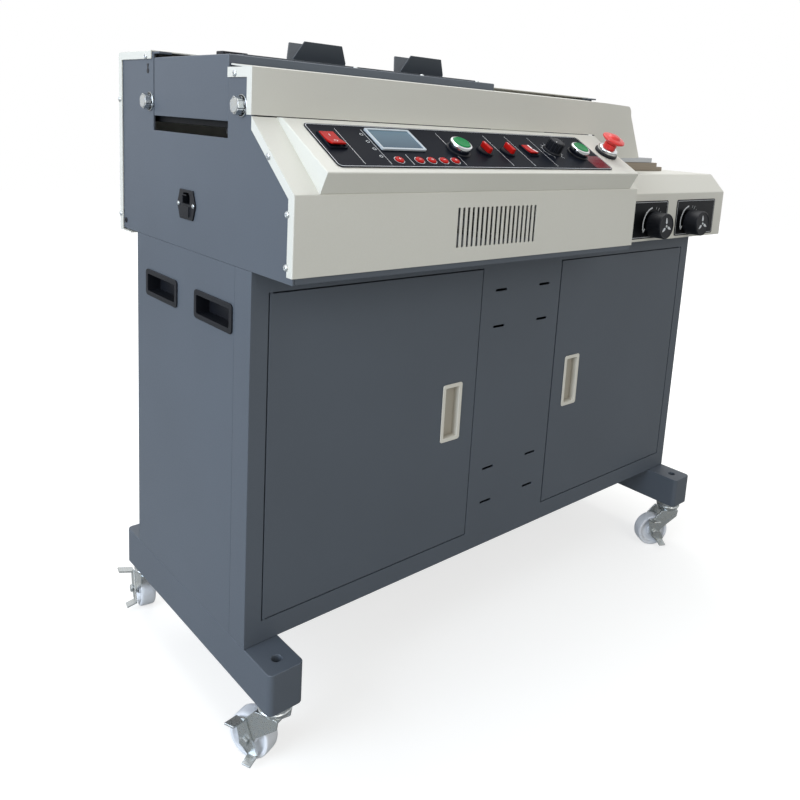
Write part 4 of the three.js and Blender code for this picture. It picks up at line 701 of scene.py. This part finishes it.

# Rockers: the red rocker of the mains switch with its generic on and off marks, and a narrower
# one for the mode with two lenses, of glossy polycarbonate. The lenses' glow is painted as plain
# white. Both tilt in the black bezels that stand on the film.
rest_tilt, half_angle, base_height, edge_height, pivot_height, end_drop = -7, 8.5, 0.3, 2.7, 3.4, 0.7
lens_low, lens_high = -0.4, 0.35
for name, along, up, across, long in (("power_rocker", 42, 64, 21, 31), ("mode_rocker", 388, 55, 15, 24)):
    tilted = on_panel(along, up) @ turn(rest_tilt, "X")
    half, lift = long / 2, math.tan(math.radians(half_angle)) * long / 2
    # Its side seen end on: a shallow V, low in the middle and up to the two ends
    end_on = tilted @ Matrix(((0, 0, 1, 0), (1, 0, 0, 0), (0, 1, 0, 0), (0, 0, 0, 1)))
    side_face = [(-half, base_height + lift), (0, base_height), (half, base_height + lift),
                 (half, edge_height + lift), (0, pivot_height), (-half, edge_height + lift)]
    rocker = cut_out(f"{name}_body", side_face, -across / 2, across / 2, end_on, 0.9, 3)
    seat_on(rocker, name, "red_plastic", red_gloss, name)
    slope = math.atan2(lift - end_drop, half)
    lit = tilted @ shift(0, 0, pivot_height) @ Matrix.Rotation(slope, 4, "X")
    shut = tilted @ shift(0, 0, pivot_height) @ Matrix.Rotation(-slope, 4, "X")
    if name == "power_rocker":
        printed("power_on_mark", [[(0, long * 0.16), (0, long * 0.3)]], 1.1, lit, name, "red_plastic")
        printed("power_off_mark", [arc(0, -long * 0.25, 2.2, 0, 360)], 0.9, shut, name, "red_plastic")
    else:
        # Painted glow: the lenses are a plain white, with no lamp in them
        painted_glow_white = moulded("white_lens_painted_glow", "#f2e2e0", "#ffffff", 0.3)
        for label, low, high, face in (("lens", 1, long / 2 - 0.8, lit),
                                       ("lower_lens", -long / 2 + 0.8, -1, shut)):
            lens = cut_out(f"mode_rocker_{label}", rounded(4.4, 7.2, low, high, 0.8, 3),
                           lens_low, lens_high, face, 0.1)
            seat_on(lens, name, "red_plastic", painted_glow_white)

# Selector switches: a black disc with a red pointer bar across it, a white line on the bar's
# nose. Each turns an eighth of a turn to either side. Both are moulded, the bar glossy.
selector_row, bar_top = 50, 11
disc_profile = [(0, 0.3), (9.9, 0.3), (9.9, 2.6), (9.3, 3.4), (6, 3.7), (0, 3.7)]
bar_outline = [(-3.4, -8.8), (-2, -10.2), (2, -10.2), (3.4, -8.8), (3, 8.8), (1.5, 10.2),
               (-1.5, 10.2), (-3, 8.8)]
for name, along in (("selector_left", 290), ("selector_right", 337)):
    place = on_panel(along, selector_row)
    disc = turned(f"{name}_disc", disc_profile, place, 40)
    seat_on(disc, name, "black_plastic", black_abs, name)
    bar = cut_out(f"{name}_bar", bar_outline, 3.2, bar_top, place, 1.2, 3)
    seat_on(bar, name, "red_plastic", red_gloss)
    printed(f"{name}_line", [[(0, 4), (0, 8.4)]], 1.1,
            on_panel(along, selector_row, film_top + bar_top), name, "red_plastic")

# Push buttons: green caps that sink in polished chrome collars, each over a black skirt. The
# chrome is smooth plated brass and mirrors the white room in a bright band, and the caps are
# polycarbonate with a quiet gloss.
chrome, tree = blank("polished_chrome_plate")
spot = add(tree, "ShaderNodeTexCoord").outputs["Object"]
# Wiping leaves a haze in patches of 3 mm
wipe = add(tree, "ShaderNodeTexNoise", {"Scale": 300, "Detail": 2}, {"Vector": spot})
sheen = add(tree, "ShaderNodeMapRange", {"From Min": 0.3, "From Max": 0.7, "To Min": 0.07, "To Max": 0.16},
            {"Value": wipe.outputs["Fac"]})
tone = add(tree, "ShaderNodeMix", {"data_type": "RGBA", 6: linear("#d3d6d8"), 7: linear("#e4e6e7")},
           {0: wipe.outputs["Fac"]})
shader = add(tree, "ShaderNodeBsdfPrincipled", {"Metallic": 1.0},
             {"Base Color": tone.outputs[2], "Roughness": sheen.outputs[0]})
add(tree, "ShaderNodeOutputMaterial", {}, {"Surface": shader.outputs[0]})
green_gloss = moulded("green_moulded_polycarbonate", "#00753a", "#068a48", 0.3, gloss=0.1)
button_row = 51
collar_profile = [(12.9, 6.4), (15.7, 6.4), (16.1, 7), (16.1, 10.2), (15.5, 11.9), (14.2, 12.7),
                  (13, 12.7), (12.9, 12.2), (12.9, 6.4)]
skirt_profile = [(15.6, 0), (17.6, 0), (17.6, 1.6), (16.9, 2.4), (15.6, 2.6), (15.6, 0)]
cap_profile = [(0, 3.4), (12.5, 3.4), (12.5, 12.6), (12.2, 13.4), (11.4, 13.9), (10, 13.8), (8, 13.5),
               (4, 13.3), (0, 13.25)]
for name, along in (("start_button", 240), ("clamp_button", 499)):
    place = on_panel(along, button_row)
    collar = turned(f"{name}_collar", collar_profile, place, 56)
    seat_on(collar, "cabinet", "zinc_plate", chrome)
    skirt = turned(f"{name}_skirt", skirt_profile, place, 56)
    seat_on(skirt, "cabinet", "black_plastic", black_abs)
    cap = turned(f"{name}_cap", cap_profile, place, 56)
    seat_on(cap, name, "green_plastic", green_gloss, name)

# Speed dial: a black moulded knob, fluted for the fingers, on a skirt. Its cap lies in a raised
# rim and carries a white pointer line.
speed = on_panel(dial_along, dial_up)
flute_count, grip_radius, flute_depth, cap_level = 14, 12.4, 0.7, 17.2
steps, flutes = flute_count * 6, []
for i in range(steps):
    angle = 2 * math.pi * i / steps
    reach = grip_radius + flute_depth * math.tanh(2.5 * math.cos(flute_count * angle))
    flutes.append((reach * math.cos(angle), reach * math.sin(angle)))
fluted_grip = cut_out("speed_knob_grip", flutes, 2.2, 17.4, speed, 0, 2, 25)
seat_on(fluted_grip, "speed_knob", "black_plastic", black_abs, "speed_knob")
for label, profile, steps in (
        ("skirt", [(0, 0.3), (14.4, 0.3), (14.5, 1.6), (13.6, 3), (0, 3.4)], 48),
        ("cap", [(0, cap_level), (10.4, cap_level), (10.4, 18.2), (9.6, 18.6), (0, 18.5)], 48),
        ("rim", [(10.5, cap_level), (11.8, cap_level), (11.9, 17.8), (11.4, 18.7), (10.7, 18.9),
                 (10.5, 18.5), (10.5, cap_level)], 56)):
    ring = turned(f"speed_knob_{label}", profile, speed, steps)
    seat_on(ring, "speed_knob", "black_plastic", black_abs)
printed("speed_knob_pointer", [[(5, 0), (9, 0)]], 1.2, speed @ turn(210, "Z") @ shift(0, 0, 18.6),
        "speed_knob", "black_plastic")

# Emergency stop: a flared red mushroom on a red neck, in a chrome ring over a black base. It is
# pressed down 5 mm and let go by an eighth of a turn. The polyamide has a thin clear gloss.
stop_red = moulded("red_moulded_polyamide", "#d8322f", "#e2403a", 0.3, coat=0.3)
stop = on_panel(582, 58, 0)
for label, profile, steps, body, slot, material, nodes in (
        ("base", [(15.2, 0.2), (19, 0.2), (19.2, 1), (19.2, 3.4), (18.4, 4.4), (16.4, 4.8),
                  (15.2, 4.8), (15.2, 0.2)], 56, "cabinet", "black_plastic", black_abs, []),
        ("ring", [(11.2, 4.9), (16.6, 4.9), (16.9, 5.6), (16.7, 8.8), (15.8, 10.6), (14, 11.6),
                  (11.2, 11.6), (11.2, 4.9)], 56, "cabinet", "zinc_plate", chrome, []),
        ("neck", [(0, 5.6), (10.2, 5.6), (10.4, 6.4), (10.3, 19.6), (0, 19.8)],
         48, "stop_stem", "red_plastic", stop_red, ["stop_stem"]),
        ("mushroom", [(0, 20.4), (10.6, 20.4), (12.6, 21.6), (17, 24.4), (19, 26), (19.4, 27.3),
                      (18.9, 28.5), (17.4, 29.4), (14.5, 29.9), (11.6, 30), (10.2, 30.6), (9.2, 32),
                      (7.6, 33.2), (4, 33.8), (0, 33.9)],
         64, "stop_cap", "red_plastic", stop_red, ["stop_cap"])):
    piece = turned(f"stop_{label}", profile, stop, steps)
    seat_on(piece, body, slot, material, *nodes)

# Console knobs: large black moulded hand knobs on printed dial plates. Each plate is black
# anodised aluminium with a light border, a short scale and an arrow that shows which way tightens.
anodised = metal("black_anodised_aluminium", "#15171a", "#1e2023", 0.38, 700, (0.06, 1, 1))
console_face, knob_up, plate_low, plate_high, border_inset, arrow_radius = -202, 693.5, 668, 737, 2.5, 31
on_face = Matrix.Translation(at(0, console_face, 0)) @ turn(90, "X")
print_face = on_face @ shift(0, 0, 1.1)
knob_profile = [(0, 2.3), (23.4, 2.3), (23.9, 3), (24, 8), (23.6, 9), (23.6, 29), (22.9, 30.6),
                (21.8, 31.3), (20.9, 31.1), (20.5, 30.4), (0, 30.3)]
leaf_outline = [(-0.7, 4.6), (0.7, 4.6), (2.7, 7.5), (2.1, 11.5), (0.6, 15.8), (-0.6, 15.8),
                (-2.1, 11.5), (-2.7, 7.5)]
hub_profile = [(0, 30.1), (2.4, 30.1), (2.4, 30.6), (1.9, 31), (1, 31.1), (0.8, 30.6), (0, 30.5)]
for side, knob, left, right, knob_at in (("left", "guide_knob", 204, 346, 299),
                                         ("right", "nip_knob", 378, 520, 427)):
    plate = cut_out(f"dial_plate_{side}", rounded(left, right, plate_low, plate_high, 4),
                    0.15, 1.1, on_face, 0.25)
    seat_on(plate, "cabinet", "panel_film", anodised)
    border = rounded(left + border_inset, right - border_inset,
                     plate_low + border_inset, plate_high - border_inset, 3)
    printed(f"dial_border_{side}", [border], 0.8, print_face, loop=True)
    arrow = [arc(knob_at, knob_up, arrow_radius, 100, 205, 24),
             [(knob_at - 31.5, 686.5), (knob_at - 28.1, 680.4), (knob_at - 24.2, 686)],
             [(knob_at - 25, 715), (knob_at - 23.8, 715)]]
    printed(f"dial_arrow_{side}", arrow, 3, print_face)
    scale = [[polar(reach, angle, knob_at, knob_up) for reach in (28.5, 33 if angle % 30 else 35)]
             for angle in range(-30, 76, 15)]
    printed(f"dial_scale_{side}", scale, 0.8, print_face)
    axis = on_face @ shift(knob_at, knob_up, 0)
    seat_on(turned(f"{knob}_body", knob_profile, axis, 64), knob, "black_plastic", black_abs, knob)
    # Three separate leaf-shaped inlays in white round a zinc-plated screw
    for i in range(3):
        leaf = cut_out(f"{knob}_leaf_{i}", leaf_outline, 30.1, 30.8, axis @ turn(120 * i + 8, "Z"), 0.2)
        seat_on(leaf, knob, "black_plastic", ink)
    seat_on(turned(f"{knob}_hub", hub_profile, axis, 24), knob, "zinc_plate", zinc)

# Nipping table: a ground steel base with its fixed front nip and the moving rear nip, coated
# bronze brown, and an aluminium cover guide on top. Machining leaves fine lines along them.
bronze, tree = blank("bronze_brown_coated_steel")
spot = add(tree, "ShaderNodeTexCoord").outputs["Object"]
# Planing marks 1.7 mm apart, drawn out 25 times along the plates
laid = add(tree, "ShaderNodeMapping", {"Scale": (0.04, 1, 1)}, {"Vector": spot})
lines = add(tree, "ShaderNodeTexNoise", {"Scale": 600, "Detail": 3}, {"Vector": laid.outputs[0]})
tone = add(tree, "ShaderNodeMix", {"data_type": "RGBA", 6: linear("#7d7264"), 7: linear("#948877")},
           {0: lines.outputs["Fac"]})
shader = add(tree, "ShaderNodeBsdfPrincipled", {"Metallic": 0.35, "Roughness": 0.42},
             {"Base Color": tone.outputs[2]})
add(tree, "ShaderNodeOutputMaterial", {}, {"Surface": shader.outputs[0]})
aluminium = metal("machined_aluminium", "#a3a6a8", "#b6b9bb", 0.36, 700, (0.05, 1, 1))
dressed("nip_table", "cabinet", "bronze_plate", bronze, 0.4, 0.6)
dressed("nip_plate_rear", "nip_plate_rear", "bronze_plate", bronze, 0.4, 0.8)
dressed("cover_guide", "cover_guide", "cast_aluminium", aluminium, 0.4, 0.6)

# Clamp carriage: a cast plate with four bearing blocks on the guide rods, under a grey sheet
# lid. The casting keeps its sandy skin, and its near-black colour is painted shade for the dark
# slot it sits in.
shade_dark_cast = metal("cast_darkened_as_painted_shade", "#1b1c1e", "#27292c", 0.6, 500)
dressed("carriage_frame", "carriage", "cast_aluminium", shade_dark_cast, 0.5, 1.0, 32)
dressed("carriage_cover", "carriage", "grey_paint", grey_coat, 0.5, 1.8)

# Clamp jaws: folded steel plates whose funnel wings lead the book in. The rear one moves. They
# are powder coated in a darker slate. Three screws hold the lid, with a black stop block on it.
slate_coat = powder_coat("slate_powder_coated_steel", "#373d44", "#3f464d", 0.42, 0.54)
dressed("clamp_jaw_front", "carriage", "grey_paint", slate_coat, 0.4, 1.2)
dressed("clamp_jaw_rear", "clamp_jaw_rear", "grey_paint", slate_coat, 0.4, 1.2)
lid_low, lid_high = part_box("carriage_cover")
screw_inset, lid_top = 12, (lid_high.z - middle.z) * 1000
for i, x in enumerate((-307, -184, -67)):
    place = Matrix.Translation(Vector((at(x, 0, 0).x, lid_low.y + screw_inset / 1000, lid_high.z)))
    drive_in(f"lid_screw_{i}", place, 0.7 * i, "carriage")
# The last screw is in, so the pattern goes
bpy.data.objects.remove(pattern_screw)
block = cut_out("lid_block", rounded(-478, -440, -30, -12, 2.5, 4), lid_top + 0.2, lid_top + 8,
                Matrix.Translation(middle), 1.2, 3)
seat_on(block, "carriage", "black_plastic", black_abs)

# Milling head: a finned motor on the deck under a toothed disc cutter. The motor is coated
# dark, the cutter is ground tool steel.
dark_coat = powder_coat("dark_coated_motor_casting", "#3d3b38", "#4b4844", 0.5, 0.62)
dressed("milling_motor", "cabinet", "dark_plate", dark_coat, 0.6)
tool_steel = metal("ground_tool_steel", "#aeb3b6", "#c6cacc", 0.26, 900, (1, 1, 0.1))
dressed("milling_cutter", "milling_cutter", "ground_steel", tool_steel, 0.3)
motor_low, motor_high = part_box("milling_motor")
motor_axis = Matrix.Translation(Vector(((motor_low.x + motor_high.x) / 2,
                                        (motor_low.y + motor_high.y) / 2, 0)))
fin_root, fin_reach, first_fin, fin_pitch = 43, 46.5, 22, 8.5
for i in range(7):
    level = motor_low.z * 1000 + first_fin + fin_pitch * i
    fin = turned(f"motor_fin_{i}", [(fin_root, level), (fin_reach, level + 0.3),
                 (fin_reach, level + 2.5), (fin_root, level + 2.8), (fin_root, level)], motor_axis, 48)
    seat_on(fin, "cabinet", "dark_plate", dark_coat)

# Glue unit: a cast tank on legs with a turned roller that carries the melted glue to the spine.
# Set glue lies in the bottom of the tank, amber and glossy, up to 2 mm under the roller. The
# tank is sand cast aluminium, matt and pebbly.
cast = metal("sand_cast_aluminium", "#8f9294", "#a4a7a9", 0.52, 500)
dressed("glue_tank", "cabinet", "cast_aluminium", cast, 0.8, 1.2)
dressed("glue_roller", "glue_roller", "ground_steel", tool_steel, 0.4)
glue, tree = blank("set_hot_melt_glue")
spot = add(tree, "ShaderNodeTexCoord").outputs["Object"]
# It sets in swirls 17 mm wide
swirl = add(tree, "ShaderNodeTexNoise", {"Scale": 60, "Detail": 2, "Distortion": 0.6}, {"Vector": spot})
tone = add(tree, "ShaderNodeMix", {"data_type": "RGBA", 6: linear("#c9b689"), 7: linear("#dccca4")},
           {0: swirl.outputs["Fac"]})
bump = add(tree, "ShaderNodeBump", {"Strength": 0.4, "Distance": 0.001},
           {"Height": swirl.outputs["Fac"]})
shader = add(tree, "ShaderNodeBsdfPrincipled", {"IOR": 1.48, "Roughness": 0.2},
             {"Base Color": tone.outputs[2], "Normal": bump.outputs[0]})
add(tree, "ShaderNodeOutputMaterial", {}, {"Surface": shader.outputs[0]})
(tank_low, tank_high), (roller_low, _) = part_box("glue_tank"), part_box("glue_roller")
tank_wall, glue_depth, under_roller = 4.2, 7.7, 2
pool_outline = rounded(tank_low.x * 1000 + tank_wall, tank_high.x * 1000 - tank_wall,
                       tank_low.y * 1000 + tank_wall, tank_high.y * 1000 - tank_wall, 3)
pool_top = roller_low.z * 1000 - under_roller
pool = cut_out("set_glue", pool_outline, pool_top - glue_depth, pool_top, Matrix.Identity(4), 0.8)
seat_on(pool, "cabinet", "bronze_plate", glue)

# Mains inlet: a black moulded three-pin socket over a fuse drawer in a six-sided flange, held
# by two countersunk screws, with bright plated pins that stand in the well.
dressed("power_inlet", "cabinet", "black_plastic", black_abs, 0.5, 0.8)
flange_face, inlet_y, inlet_z = -507.8, 9.973, 724.5
face_left = Matrix.Translation(at(flange_face, inlet_y, inlet_z)) @ turn(-90, "Y") @ turn(90, "Z")
for i, (across, up) in enumerate(((-6, 6.5), (0, 11), (6, 6.5))):
    blade = rounded(across - 1, across + 1, up - 2.2, up + 2.2, 0.6, 3)
    seat_on(cut_out(f"inlet_pin_{i}", blade, -18, -4, face_left, 0.4), "cabinet", "zinc_plate", chrome)
countersunk_profile = [(0, 0.05), (3, 0.05), (3, 0.7), (2.4, 1.3), (1, 1.5), (0.6, 1), (0, 0.9)]
for i, across in enumerate((-22, 22)):
    screw = turned(f"inlet_screw_{i}", countersunk_profile, face_left @ shift(across, 0, 0), 24)
    seat_on(screw, "cabinet", "zinc_plate", zinc)
drawer_rib = cut_out("fuse_drawer_rib", rounded(-7, 7, -14, -12.4, 0.7, 3), 1.9, 3, face_left, 0.3)
seat_on(drawer_rib, "cabinet", "black_plastic", black_abs)
